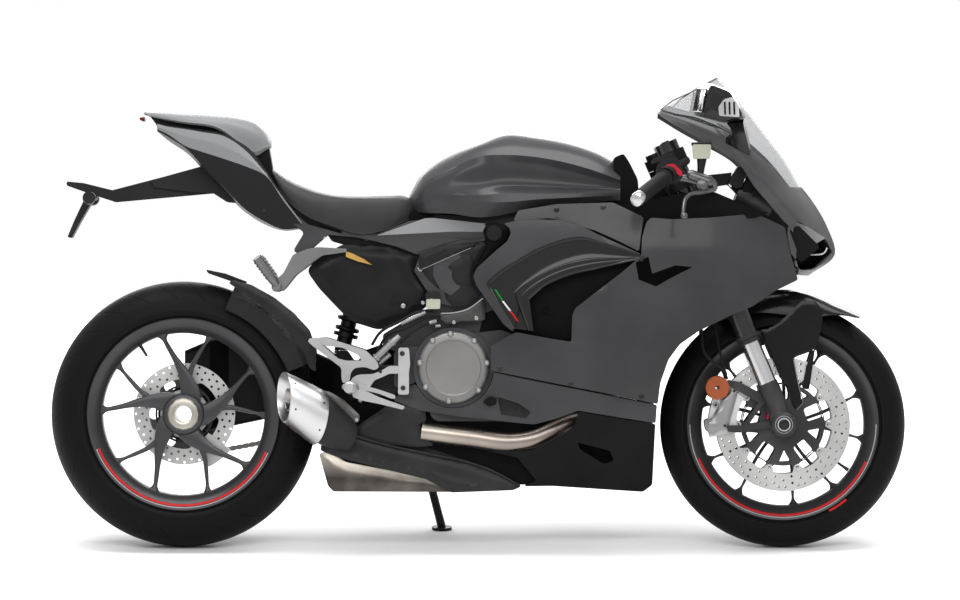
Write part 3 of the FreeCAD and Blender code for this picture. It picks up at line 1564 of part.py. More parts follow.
boxes = [item.Shape.optimalBoundingBox(True, False) for item, place in nodes.values()]
shift = Vector(
    -(min(box.XMin for box in boxes) + max(box.XMax for box in boxes)) / 2,
    -(min(box.YMin for box in boxes) + max(box.YMax for box in boxes)) / 2,
    -min(box.ZMin for box in boxes),
)
stand_place = Placement(shift, Rotation()).multiply(lean_place)
for item, place in nodes.values():
    item.Placement = stand_place.multiply(place)
doc.recompute()


def told(vector):
    return [round(vector.x, 4), round(vector.y, 4), round(vector.z, 4)]


def ways(vector):
    return told(stand_place.Rotation.multVec(vector))


print("nodes", len(nodes))
print("shift", told(shift))
print("rear_axle", told(stand_place.multVec(rear_axle)), ways(Y_AXIS))
print("front_axle", told(stand_place.multVec(front_axle)))
print("steering", told(stand_place.multVec(steering_origin)), ways(steering_up))
print("stand", told(stand_place.multVec(stand_pivot)), ways(stand_axis), round(stand_swing, 3))
print("stand_foot", told(stand_place.multVec(stand_foot)))

os.makedirs("parts", exist_ok=True)
for label, (item, place) in nodes.items():
    shape = item.Shape
    if shape.isNull() or not shape.isValid():
        raise RuntimeError(f"{label} has no valid shape")
    shape.exportStep(f"parts/{label}.step")
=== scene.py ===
"""A sport bike on its side stand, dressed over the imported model.

The bike's own drawing is upright, in millimetres: x forward from the rear axle, y to the rider's left,
z up from the ground. stand_up() leans it onto its stand and takes it to metres.
"""

import json
import math

import bmesh
import bpy
import numpy as np
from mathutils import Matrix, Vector
from mathutils.geometry import delaunay_2d_cdt


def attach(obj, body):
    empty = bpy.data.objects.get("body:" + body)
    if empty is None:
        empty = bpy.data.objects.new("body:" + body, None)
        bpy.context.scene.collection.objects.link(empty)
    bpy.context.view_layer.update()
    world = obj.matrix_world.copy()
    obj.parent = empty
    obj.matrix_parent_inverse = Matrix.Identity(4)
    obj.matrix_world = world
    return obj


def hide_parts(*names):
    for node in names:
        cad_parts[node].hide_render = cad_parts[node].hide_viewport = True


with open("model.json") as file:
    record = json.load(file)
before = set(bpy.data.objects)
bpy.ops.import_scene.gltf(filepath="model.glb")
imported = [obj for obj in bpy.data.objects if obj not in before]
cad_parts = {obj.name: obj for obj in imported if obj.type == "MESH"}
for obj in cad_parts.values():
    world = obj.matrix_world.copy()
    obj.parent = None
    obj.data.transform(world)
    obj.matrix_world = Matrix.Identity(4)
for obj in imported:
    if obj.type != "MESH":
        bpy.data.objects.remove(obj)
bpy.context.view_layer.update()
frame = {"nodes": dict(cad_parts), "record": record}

# The studio: a white floor, a camera square to the leaning bike, and plain soft light.

LEAN = math.radians(10)
SHIFT = np.array([-706.0, -163.1767, 1.4197])


def stand_up(points):
    """Turn upright millimetres about X by the lean, add the shift, and give metres."""
    points = np.asarray(points, float)
    x, y, z = points[..., 0], points[..., 1], points[..., 2]
    leaned = np.stack([x, y * math.cos(LEAN) + z * math.sin(LEAN), z * math.cos(LEAN) - y * math.sin(LEAN)],
        -1)
    return (leaned + SHIFT) / 1000


MM_PER_PIXEL = 2.4
CAMERA_AWAY = 24000
VIEW_X, VIEW_Z = 710.4, 591.6
camera_data = bpy.data.cameras.new("camera")
camera_data.sensor_width = 36
camera_data.lens = 36 * CAMERA_AWAY / (960 * MM_PER_PIXEL)
camera_data.clip_end = 200
camera = bpy.data.objects.new("camera", camera_data)
bpy.context.scene.collection.objects.link(camera)
camera.location = stand_up((VIEW_X, -CAMERA_AWAY, VIEW_Z))
camera.rotation_euler = (math.radians(90) - LEAN, 0, 0)
bpy.context.scene.camera = camera

floor_mesh = bpy.data.meshes.new("floor")
floor_mesh.from_pydata([(-8, -8, 0), (8, -8, 0), (8, 3, 0), (-8, 3, 0)], [], [(0, 1, 2, 3)])
floor = bpy.data.objects.new("floor", floor_mesh)
bpy.context.scene.collection.objects.link(floor)


def shading(owner):
    """Empty a tree of nodes. The function it gives adds one node: plain values fill its sockets in order,
    names with a capital fill the sockets of that name, the rest are the node's own settings, and a value
    that is a socket or a node is linked."""
    owner.use_nodes = True
    tree = owner.node_tree
    tree.nodes.clear()

    def add(kind, *values, **named):
        node = tree.nodes.new("ShaderNode" + kind)
        for key, value in [*enumerate(values), *named.items()]:
            if isinstance(key, str) and key[0].islower():
                setattr(node, key, value)
                continue
            socket = node.inputs[key.replace("_", " ") if isinstance(key, str) else key]
            if isinstance(value, bpy.types.Node):
                value = value.outputs[0]
            if isinstance(value, bpy.types.NodeSocket):
                tree.links.new(value, socket)
            else:
                socket.default_value = value
        return node
    return add


def node_material(name):
    """A material with an empty tree, and the function that adds nodes to it."""
    material = bpy.data.materials.new(name)
    return material, shading(material)


def ramp(add, source, low, high, start=0.0, end=1.0):
    """A colour that runs from one to another as the source goes from start to end."""
    node = add("ValToRGB", source)
    for element, place, colour in zip(node.color_ramp.elements, (start, end), (low, high)):
        element.position = place
        element.color = (*colour, 1)
    return node


floor_material, add = node_material("floor_white")
add("OutputMaterial", add("BsdfDiffuse", Color=(0.94, 0.94, 0.94, 1)))
floor_mesh.materials.append(floor_material)

world = bpy.data.worlds.new("studio")
bpy.context.scene.world = world
add = shading(world)
room = add("Background", Color=(1, 1, 1, 1), Strength=0.62)
seen = add("Background", Color=(1, 1, 1, 1), Strength=1.0)
ray = add("LightPath").outputs
direct = add("Math", ray["Is Camera Ray"], ray["Is Transmission Ray"], operation="ADD")
plain = add("Math", direct, ray["Is Glossy Ray"], operation="ADD", use_clamp=True)
add("OutputWorld", add("MixShader", plain, room, seen))
bpy.context.scene.view_settings.view_transform = "Standard"


def soft_box(name, place, aim, width, height, watts):
    """An area lamp at one upright point facing another."""
    lamp = bpy.data.lights.new(name, "AREA")
    lamp.shape = "RECTANGLE"
    lamp.size = width
    lamp.size_y = height
    lamp.energy = watts
    holder = bpy.data.objects.new(name, lamp)
    bpy.context.scene.collection.objects.link(holder)
    start, target = (stand_up(point) for point in (place, aim))
    holder.location = start
    holder.rotation_euler = Vector(target - start).to_track_quat("-Z", "Y").to_euler()


soft_box("top_light", (700, -300, 3600), (700, 0, 500), 5.0, 1.6, 190)
soft_box("side_light", (700, -4200, 2600), (700, 0, 500), 5.0, 1.6, 120)
soft_box("far_light", (700, 3800, 2400), (700, 0, 600), 4.0, 1.6, 90)

# The tyres: two road radials, moulded in black rubber, each a round crown over short sidewalls,
# seated between the flanges of its rim. The tread's curved grooves are cut in the shader.

REAR_AXLE = np.array([0.0, 0.0, 318.0])
FRONT_AXLE = np.array([1436.0, 0.0, 294.0])
CLUTCH = np.array([647, 430])


def through(keys, steps, corners=()):
    """A smooth line through the keys along the first axis: cubic arcs whose slope at a key is the mean of
    its two neighbours' slopes, weighted by the other one's length, and broken at the numbered corners."""
    keys = np.asarray(keys, float)
    chord = np.diff(keys, axis=0)
    length = np.linalg.norm(chord, axis=-1, keepdims=True) + 1e-9
    slope = chord / length
    inner = (slope[:-1] * length[1:] + slope[1:] * length[:-1]) / (length[:-1] + length[1:])
    out = np.concatenate([slope[:1], inner])
    into = np.concatenate([inner, slope[-1:]])
    for corner in corners:
        out[corner] = slope[corner]
        into[corner - 1] = slope[corner - 1]
    t = (np.arange(steps) / steps).reshape((1, steps) + (1,) * (keys.ndim - 1))
    start, end = keys[:-1, None], keys[1:, None]
    leave, arrive = (out * length)[:, None], (into * length)[:, None]
    line = ((2 * t ** 3 - 3 * t ** 2 + 1) * start + (t ** 3 - 2 * t ** 2 + t) * leave
        + (3 * t ** 2 - 2 * t ** 3) * end + (t ** 3 - t ** 2) * arrive)
    return np.concatenate([line.reshape((-1,) + keys.shape[1:]), keys[-1:]])


def grid(points, around=False, along=False, caps=False):
    """Vertices and faces of a grid of points, closed across its columns (around) or its rows (along);
    caps close the two ends of a tube with one face each."""
    rows, columns = points.shape[:2]
    r = np.arange(rows if along else rows - 1)[:, None]
    c = np.arange(columns if around else columns - 1)[None, :]
    r1, c1 = (r + 1) % rows, (c + 1) % columns
    faces = np.stack([r * columns + c, r1 * columns + c, r1 * columns + c1, r * columns + c1], -1)
    faces = faces.reshape(-1, 4).tolist()
    if caps:
        faces += [list(range(columns))[::-1], list(range((rows - 1) * columns, rows * columns))]
    return points.reshape(-1, 3), faces


def body_of(rings):
    """A closed body from rings of points."""
    return grid(rings, around=True, caps=True)


def make(name, parts, material, slot, replaces=(), body="chassis", sharp=35, bevel=0, thickness=0, uv=None,
        away=(700, 0, 500)):
    """One object from several (vertices, faces) lists in upright millimetres. Closed shells are turned
    outward; an open sheet that gets a thickness faces away from the given point."""
    vertices = np.concatenate([v for v, f in parts])
    starts = np.cumsum([0] + [len(v) for v, f in parts[:-1]])
    faces = [[corner + start for corner in face] for start, (v, f) in zip(starts.tolist(), parts)
        for face in f]
    mesh = bpy.data.meshes.new(name)
    mesh.from_pydata(stand_up(vertices).tolist(), [], faces)
    if uv is not None:
        layer = mesh.uv_layers.new(name="surface")
        corners = np.zeros(len(mesh.loops), int)
        mesh.loops.foreach_get("vertex_index", corners)
        layer.data.foreach_set("uv", np.asarray(uv, float)[corners].ravel())
    shape = bmesh.new()
    shape.from_mesh(mesh)
    bmesh.ops.remove_doubles(shape, verts=shape.verts, dist=2e-5)
    bmesh.ops.recalc_face_normals(shape, faces=shape.faces)
    if thickness:
        heart = Vector(stand_up(away))
        if sum(face.normal.dot(face.calc_center_median() - heart) * face.calc_area()
                for face in shape.faces) < 0:
            bmesh.ops.reverse_faces(shape, faces=shape.faces)
    shape.to_mesh(mesh)
    shape.free()
    mesh.shade_smooth()
    mesh.set_sharp_from_angle(angle=math.radians(sharp))
    item = bpy.data.objects.new(name, mesh)
    bpy.context.scene.collection.objects.link(item)
    mesh.materials.append(material)
    if thickness:
        step = item.modifiers.new("wall", "SOLIDIFY")
        step.thickness = thickness / 1000
        step.offset = -1
    if bevel:
        step = item.modifiers.new("edge", "BEVEL")
        step.width = bevel / 1000
        step.segments = 2
        step.limit_method = "ANGLE"
        step.angle_limit = math.radians(40)
        step.harden_normals = True
    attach(item, body)
    for node in replaces:
        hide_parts(node)
    return item


def ring_point(axle, radius, across, degrees):
    """Points at a radius and an angle about an axle, at a place across the bike."""
    turn = np.radians(degrees)
    radius, across, turn = np.broadcast_arrays(radius, across, turn)
    return axle + np.stack([radius * np.cos(turn), across, radius * np.sin(turn)], -1)


def turned(axle, profile, steps=96):
    """A closed (radius, across) profile turned about an axle."""
    profile = np.asarray(profile, float)
    angle = np.arange(steps)[:, None] * 360 / steps
    return grid(ring_point(axle, profile[None, :, 0], profile[None, :, 1], angle), around=True, along=True)


def tinted(name, colour, roughness, metallic=0.0, grain=0.0, grain_size=400.0, spread=0.25, coat=0.0,
        rough_spread=0.08, specular=0.12):
    """A finish whose colour and roughness drift a little over the surface, with an optional fine grain."""
    material, add = node_material(name)
    place = add("TexCoord").outputs["Object"]
    cloud = add("TexNoise", Vector=place, Scale=9, Detail=4)
    low = [channel * (1 - spread) for channel in colour]
    high = [min(channel * (1 + spread), 1) for channel in colour]
    sheen = add("MapRange", cloud, To_Min=max(roughness - rough_spread, 0.02), To_Max=roughness
        + rough_spread)
    relief = {}
    if grain:
        fine = add("TexNoise", Vector=place, Scale=grain_size, Detail=2)
        relief["Normal"] = add("Bump", Height=fine, Strength=grain, Distance=0.0006)
    shader = add("BsdfPrincipled", Base_Color=ramp(add, cloud, low, high, 0.35, 0.65), Roughness=sheen,
        Metallic=metallic, Coat_Weight=coat, Coat_Roughness=0.12, Specular_IOR_Level=specular, **relief)
    add("OutputMaterial", shader)
    return material


def tread_material(name, blocks):
    """Black rubber: slanted grooves on the crown, where |v| is small, and fine ribs on the sidewall."""
    material, add = node_material(name)

    def step(operation, *values, clamp=False):
        return add("Math", *values, operation=operation, use_clamp=clamp)

    surface = add("SeparateXYZ", add("UVMap", uv_map="surface")).outputs
    aside = step("ABSOLUTE", surface["Y"])
    lean = step("MULTIPLY", step("POWER", aside, 1.6), 1.15)
    phase = step("FRACT", step("ADD", step("MULTIPLY", surface["X"], float(blocks)), lean))
    line = step("ABSOLUTE", step("SUBTRACT", phase, 0.5))
    cut = step("SMOOTH_MIN", 1.0, step("MULTIPLY", step("SUBTRACT", line, 0.035), 60.0, clamp=True), 0.02)
    where = step("MULTIPLY", step("MULTIPLY", step("SUBTRACT", aside, 0.10), 40.0, clamp=True),
        step("MULTIPLY", step("SUBTRACT", 0.80, aside), 40.0, clamp=True))
    groove = step("MULTIPLY", step("SUBTRACT", 1.0, cut), where)
    ribs = step("MULTIPLY", step("SINE", step("MULTIPLY", aside, 160.0)),
        step("MULTIPLY", step("SUBTRACT", aside, 1.24), 20.0, clamp=True))
    height = step("SUBTRACT", step("MULTIPLY", ribs, 0.12), step("MULTIPLY", groove, 1.6))
    fine = add("TexNoise", Vector=add("TexCoord").outputs["Object"], Scale=260)
    height = step("ADD", height, step("MULTIPLY", fine, 0.05))
    tone = ramp(add, step("MULTIPLY", aside, 0.5), (0.0045, 0.0045, 0.0047), (0.01, 0.01, 0.0104), 0.55, 0.72)
    bump = add("Bump", Height=height, Strength=0.9, Distance=0.0022)
    add("OutputMaterial", add("BsdfPrincipled", Base_Color=tone, Roughness=0.52, Specular_IOR_Level=0.06,
        Normal=bump))
    return material


def tyre(name, axle, crown, crown_centre, edge, half, bead, blocks, body):
    """A tyre: radius = crown_centre + crown cos t and place across = crown sin t down to the edge, then a
    smooth wall through the widest place to the bead."""
    edge_turn = math.acos((edge - crown_centre) / crown)
    turns = np.linspace(-edge_turn, edge_turn, 41)
    top = np.stack([crown_centre + crown * np.cos(turns), crown * np.sin(turns)], -1)
    wall = through([top[-1] - (2, -1), (edge - 10, half), (237, half - 5), (233.2, bead + 1), (231, bead)], 5)
    ring = np.concatenate([wall[::-1] * (1, -1), top, wall, [(219, bead - 1), (219, 1 - bead)]])
    ring = np.concatenate([ring, ring[:1]])
    steps = np.concatenate([[0], np.cumsum(np.linalg.norm(np.diff(ring, axis=0), axis=1))])
    v = (steps - steps[len(wall) + 20]) / (crown * edge_turn)
    angle = np.linspace(0, 360, 161)[:, None]
    points = ring_point(axle, ring[None, :, 0], ring[None, :, 1], angle)
    uv = np.stack(np.broadcast_arrays(angle / 360, v[None, :]), -1).reshape(-1, 2)
    return make(name, [grid(points)], tread_material(f"{name}_rubber", blocks), "tyre_rubber",
        [name.replace("_road", "")], body=body, sharp=28, uv=uv)


tyre("rear_tyre_road", REAR_AXLE, 93.45, 224.55, 256, 90, 75.7, 26, "rear_wheel")
tyre("front_tyre_road", FRONT_AXLE, 59.57, 234.43, 248, 60, 44.2, 26, "front_wheel")

# The rims: gravity-cast alloy in graphite paint. A drop-centre barrel with turned lips carries five
# swept spokes at the rear, each with a thin branch, and five forked pairs at the front.

graphite = tinted("graphite_rim_paint", (0.050, 0.050, 0.052), 0.32, metallic=0.5, spread=0.08, grain=0.15,
    grain_size=900)


def barrel(half, well):
    """Closed (radius, across) profile of a rim's barrel and lips."""
    right = [(well, half - 34), (well + 4, half - 20), (211, half - 4), (222, half + 2.5), (226, half + 4.6),
        (229, half + 5), (231, half + 3.5), (231, half + 0.5), (219, half - 0.6), (218, half - 12),
        (well + 9, half - 26)]
    return [(radius, -across) for radius, across in right[::-1]] + right


def spoke(axle, rows, turn):
    """A cast arm: at each radius a rounded section between two angles, from a front to a back place."""
    rows = through(rows, 5)
    radius, lead, trail, front, back = rows.T
    share = np.array([0, 0.05, 0.25, 0.5, 0.75, 0.95, 1, 1, 0.92, 0.5, 0.08, 0])
    rise = np.array([0.34, 0.12, 0.03, 0, 0.03, 0.12, 0.34, 0.72, 0.97, 1, 0.97, 0.72])
    angle = lead[:, None] + (trail - lead)[:, None] * share + turn
    across = front[:, None] + (back - front)[:, None] * rise
    return body_of(ring_point(axle, radius[:, None], across, angle))


main_rows = [(44, -5, -78, -44, -18), (56, -8, -62, -45, -18), (72, -8.2, -44, -45, -18),
    (95, -7.2, -27, -45, -19), (130, -3.6, -11.5, -45, -20), (165, -0.2, -4.4, -47, -20),
    (186, 1.6, -2.6, -50, -19), (197, 4.6, -4.6, -54, -14)]
branch_rows = [(88, -19, -28, -41, -22), (108, -21, -28, -41, -23), (150, -27.5, -31.6, -41, -23),
    (184, -31.2, -34.6, -43, -22), (197, -30.8, -37.4, -48, -18)]
rear_hub = [(27.4, -52), (44, -52), (48, -49), (51, -42), (50, 30), (48, 38), (27.4, 38)]
spokes = [spoke(REAR_AXLE, rows, 33 + 72 * step) for step in range(5) for rows in (main_rows, branch_rows)]
make("rear_cast_rim", [turned(REAR_AXLE, barrel(76, 194), 128), turned(REAR_AXLE, rear_hub, 64)] + spokes,
    graphite, "graphite_paint", ["rear_rim"], body="rear_wheel", sharp=40)

arm_rows = [(27, 15, -15, -22, 22), (45, 13, 3, -19, 19), (62, 12.5, 5.2, -15, 15), (100, 13.4, 8.6, -11, 11),
    (160, 16.2, 13.4, -10, 10), (184, 17, 14.2, -11, 11), (197, 20, 11.6, -16, 16)]
mirror_rows = [(radius, -lead, -trail, front, back) for radius, lead, trail, front, back in arm_rows]
front_hub = [(16.4, -63.2), (38, -63.2), (38, -56), (31, -48), (29, -20), (29, 20), (31, 48), (38, 56),
    (38, 63.2), (16.4, 63.2)]
spokes = [spoke(FRONT_AXLE, rows, 5.5 + 72 * step) for step in range(5) for rows in (arm_rows, mirror_rows)]
make("front_cast_rim", [turned(FRONT_AXLE, barrel(44.5, 194), 128), turned(FRONT_AXLE, front_hub, 64)]
    + spokes, graphite, "graphite_paint", ["front_rim"], body="front_wheel", sharp=40)

# Pinstripes: red tape on the rims, and thin grey lines along the lips that are painted highlights.

red_tape = tinted("red_tape", (0.42, 0.018, 0.020), 0.3, spread=0.08)
# The grey lines along the rims' lips are a painted highlight, not tape.
painted_lip_highlight = tinted("painted_lip_highlight", (0.30, 0.30, 0.31), 0.3, spread=0.08)


def stripe(axle, profile, start, end):
    """A thin strip along a wheel, standing on a (radius, across) line between two angles."""
    line = through(profile, 3)
    angle = np.linspace(start, end, 60)[:, None]
    return [grid(ring_point(axle, line[None, :, 0], line[None, :, 1] * side, angle)) for side in (-1, 1)]


for name, profile, start, end in (("rear_pinstripe", [(215.0, 76.4), (220.8, 79.6)], 202, 335.5),
        ("front_pinstripe", [(215.0, 44.9), (220.8, 48.1)], 202, 335.5),
        ("rear_lip_highlight", [(222.0, 80.0), (224.4, 81.2)], 202, 335.5),
        ("front_lip_highlight", [(222.0, 48.6), (224.4, 49.8)], 180, 360)):
    axle, body = (REAR_AXLE, "rear_wheel") if name.startswith("rear") else (FRONT_AXLE, "front_wheel")
    # For the lip lines the finish is the grey of the painted highlight; only the pinstripes are red tape.
    tape, slot = (red_tape, "red_lens") if "pin" in name else (painted_lip_highlight, "machined_alloy")
    make(name, stripe(axle, profile, start, end), tape, slot, body=body, thickness=0.4, away=axle)

# The brake discs: stainless bands, laser-cut with rows of holes, on dark carriers. At the front they
# float on ten bobbins and the carrier has five square and five triangular windows.


def rounded(points, radius, arc=5):
    """A closed outline with each corner replaced by a quadratic curve of the given reach."""
    points = np.asarray(points, float)
    before, after = np.roll(points, 1, 0) - points, np.roll(points, -1, 0) - points
    long_before = np.linalg.norm(before, axis=1, keepdims=True)
    long_after = np.linalg.norm(after, axis=1, keepdims=True)
    reach = np.minimum(radius, 0.45 * np.minimum(long_before, long_after))
    start = points + before / long_before * reach
    end = points + after / long_after * reach
    t = np.linspace(0, 1, arc)[None, :, None]
    curve = (1 - t) ** 2 * start[:, None] + 2 * t * (1 - t) * points[:, None] + t ** 2 * end[:, None]
    return curve.reshape(-1, 2)


def filled(loops, step=0):
    """Triangles inside closed (x, z) outlines, with an even scatter of inner points at the given step."""
    points, edges, start = [], [], 0
    for loop in loops:
        points.append(loop)
        count = len(loop)
        edges += [(start + index, start + (index + 1) % count) for index in range(count)]
        start += count
    ring = np.concatenate(points)
    if step:
        low, high = ring.min(0), ring.max(0)
        xs, zs = np.meshgrid(np.arange(low[0], high[0], step), np.arange(low[1], high[1], step * 0.87))
        xs = xs + (np.arange(len(zs)) % 2)[:, None] * step / 2
        inner = np.stack([xs.ravel(), zs.ravel()], 1)
        away = np.sqrt(((inner[:, None] - ring[None]) ** 2).sum(-1)).min(1)
        points.append(inner[away > step * 0.45])
    verts, _, faces, *_ = delaunay_2d_cdt(np.concatenate(points).tolist(), edges, [], 0, 0.01)
    flat = np.array([tuple(vertex) for vertex in verts])
    faces = np.array(faces)
    middle = flat[faces].mean(1)
    inside = np.zeros(len(faces), bool)
    for loop in loops:
        one, two = loop, np.roll(loop, -1, 0)
        crosses = (one[None, :, 1] > middle[:, 1:]) != (two[None, :, 1] > middle[:, 1:])
        slope = (two - one)[None, :, 0] * (middle[:, 1:] - one[None, :, 1]) / ((two - one)[None, :, 1]
            + 1e-12)
        inside ^= (crosses & (middle[:, :1] < one[None, :, 0] + slope)).sum(1) % 2 == 1
    return flat, faces[inside].tolist()


def loop_round(radius, count):
    """A circle of points about the wheel's centre; the radius may change with the angle."""
    angle = np.arange(count) * 2 * math.pi / count
    radius = radius(angle) if callable(radius) else radius
    return np.stack([radius * np.cos(angle), radius * np.sin(angle)], 1)


def hole_rows(rows, size):
    """Holes in rings: each row gives its radius, how many holes and the first one's angle."""
    holes = []
    for radius, count, first in rows:
        for step in range(count):
            angle = math.radians(first + 360 * step / count)
            holes.append(loop_round(size, 8) + radius * np.array([math.cos(angle), math.sin(angle)]))
    return holes


def at_across(flat, y):
    """Flat (x, z) points set at a place, or places, across the bike."""
    flat = np.asarray(flat, float)
    return np.stack([flat[..., 0], np.broadcast_to(y, flat.shape[:-1]), flat[..., 1]], -1)


def cut_plate(loops, near, far, axle=(0, 0, 0)):
    """A flat plate with holes between two places across, its outlines drawn about the axle."""
    flat, faces = filled(loops)
    parts = [(at_across(flat, near) + axle, [face[::-1] for face in faces]),
        (at_across(flat, far) + axle, faces)]
    return parts + [grid(np.stack([at_across(loop, y) + axle for y in (near, far)]), around=True)
        for loop in loops]


def placed(outline, radius, degrees):
    """An outline drawn about a point at a radius, turned with its angle."""
    turn = math.radians(degrees)
    out, side = np.array([math.cos(turn), math.sin(turn)]), np.array([-math.sin(turn), math.cos(turn)])
    outline = np.asarray(outline, float)
    return (outline[:, :1] + radius) * out + outline[:, 1:] * side


def mirrored(parts):
    """The same parts on the other side of the bike."""
    return [(np.asarray(v) * (1, -1, 1), [face[::-1] for face in f]) for v, f in parts]


def twin(parts):
    """The parts and the same ones on the other side."""
    return parts + mirrored(parts)


def plate(outline, near, far, radius=4, holes=()):
    """A plate cut to an (x, z) outline with rounded corners, between two places across the bike."""
    return cut_plate([rounded(outline, radius), *holes], near, far)


brushed = tinted("ground_disc_steel", (0.44, 0.44, 0.435), 0.32, metallic=1.0, spread=0.10)
carrier_black = tinted("carrier_anodised", (0.045, 0.045, 0.047), 0.36, metallic=0.6)


def lobed(angle):
    """Inner edge of the floating band: 118 mm, with a lobe reaching in round each of the ten bobbins."""
    off = (np.degrees(angle) + 18) % 36 - 18
    return 118 - 19 * np.exp(-(off / 5.2) ** 4)


band_holes = hole_rows([(126, 20, 9), (134, 20, 0), (142, 20, 9), (150, 20, 2), (150, 20, 14)], 3.1)
band = [loop_round(160, 120), loop_round(lobed, 160)] + band_holes
square = rounded([(-19, -17), (19, -19), (19, 19), (-19, 17)], 7)
triangle = rounded([(-17, 0), (14, -15), (14, 15)], 5)
windows = ([placed(square, 77, -51 + 72 * step) for step in range(5)]
    + [placed(triangle, 76, -15 + 72 * step) for step in range(5)])


def spider(angle):
    """Outer edge of the carrier, with a horn out to each bobbin."""
    off = (np.degrees(angle) + 18) % 36 - 18
    return 99 + 9 * np.exp(-(off / 4.0) ** 4)


carrier = [loop_round(spider, 160), loop_round(24.4, 40)] + windows
sensor = [loop_round(57, 96), loop_round(45, 60)] + [placed([(-3.5, -1.3), (3.5, -1.3), (3.5, 1.3),
    (-3.5, 1.3)], 51, 7.5 * step) for step in range(48)]
front_bands, front_carriers, bobbins = [], [], []
for side in (-1, 1):
    front_bands += cut_plate(band, side * 63.5, side * 68.5, FRONT_AXLE)
    front_carriers += cut_plate(carrier, side * 64.2, side * 69.8, FRONT_AXLE)
    for step in range(10):
        spot = ring_point(FRONT_AXLE, 108.5, 0, 36.0 * step)
        bobbins.append(turned(spot, [(2.6, side * 61), (8.4, side * 61), (8.4, side * 70.6),
            (7.4, side * 71.4), (4, side * 71.4), (2.6, side * 69)], 20))
make("front_disc_bands", front_bands, brushed, "steel", ["front_discs"], body="front_wheel", bevel=0.3)
make("front_disc_carriers", front_carriers, carrier_black, "black_paint", body="front_wheel", bevel=0.6)
make("front_disc_bobbins", bobbins, brushed, "steel", body="front_wheel", bevel=0.3)
make("front_sensor_ring", cut_plate(sensor, -62.4, -60.6, FRONT_AXLE), brushed, "steel", body="front_wheel")

rear_band = ([loop_round(122, 96),
    loop_round(lambda a: 84 - 7 * np.exp(-(((np.degrees(a) + 36) % 72 - 36) / 8) ** 4), 120)]
    + hole_rows([(92, 20, 9), (101, 20, 0), (110, 20, 9), (116.5, 20, 0)], 3.0))
rear_carrier = [loop_round(lambda a: 70 + 16 * np.exp(-(((np.degrees(a) + 36) % 72 - 36) / 9) ** 4), 120),
    loop_round(27.4, 40)] + [placed(rounded([(-9, -7), (9, -10), (9, 10), (-9, 7)], 4), 56, 36 + 72 * step)
    for step in range(5)]
make("rear_disc_band", cut_plate(rear_band, 38.4, 43.2, REAR_AXLE), brushed, "steel", ["rear_disc"],
    body="rear_wheel", bevel=0.3)
make("rear_disc_carrier", cut_plate(rear_carrier, 39.0, 44.6, REAR_AXLE), carrier_black, "black_paint",
    body="rear_wheel", bevel=0.6)

# The fuel tank: pressed in two halves and painted satin black. Knee hollows with a crisp upper edge
# run down each side, and a chamfer along the bottom turns under to the seam with the frame covers.


def both_halves(right):
    """Close rows of right-hand (x, y, z) points, listed from the top centre down, into full rings."""
    right = np.asarray(right)
    return np.concatenate([right, right[:, ::-1] * (1, -1, 1)], axis=1)


def sheet(keys, steps, across_steps, corners=()):
    """A smooth sheet through a net of keys: down its rows, then across them."""
    return np.swapaxes(through(np.swapaxes(through(keys, steps), 0, 1), across_steps, corners), 0, 1)


def stations(rows, across_steps, long_steps, edges=()):
    """A grid through sections of (y, z) keys at each x: smooth along x, smooth across except at the
    numbered edges, which stay crisp."""
    return sheet([[(x, -y, z) for y, z in corners] for x, corners in rows], long_steps, across_steps, edges)


satin_paint = tinted("satin_black_body_paint", (0.031, 0.031, 0.033), 0.33, grain=0.2, grain_size=900,
    spread=0.12, rough_spread=0.04, coat=0.15)

tank_rows = [
    (541, [(0, 842), (18, 842), (30, 841), (40, 838), (46, 834), (50, 828), (54, 822), (54, 816), (48, 806)]),
    (575, [(0, 899), (34, 897), (60, 888), (82, 872), (90, 862), (95, 850), (98, 840), (99, 826), (88, 800)]),
    (640, [(0, 942), (52, 939), (88, 924), (115, 904), (122, 890), (126, 868), (133, 844), (133, 828),
        (116, 798)]),
    (710, [(0, 972), (58, 968), (98, 956), (127, 934), (132, 912), (128, 868), (144, 842), (145, 826),
        (124, 789)]),
    (770, [(0, 989), (60, 985), (100, 967), (135, 938), (121, 914), (121, 868), (147, 846), (150, 825),
        (126, 796)]),
    (850, [(0, 983), (62, 978), (98, 962), (134, 932), (119, 910), (118, 866), (147, 845), (150, 832),
        (128, 816)]),
    (930, [(0, 968), (60, 963), (94, 948), (128, 916), (113, 896), (112, 862), (138, 846), (140, 836),
        (122, 822)]),
    (1000, [(0, 943), (52, 939), (82, 925), (112, 895), (101, 880), (100, 860), (119, 848), (120, 840),
        (106, 827)]),
    (1046, [(0, 918), (42, 914), (68, 902), (92, 878), (87, 868), (87, 857), (98, 849), (99, 843),
        (90, 830)]),
]
tank_skin = both_halves(stations(tank_rows, 6, 8, (3, 6, 7)))
make("tank_shell", [body_of(tank_skin)], satin_paint, "satin_black", ["fuel_tank"], sharp=24)

# The rider's seat: a foam saddle under a stretched vinyl cover with a raised side seam.

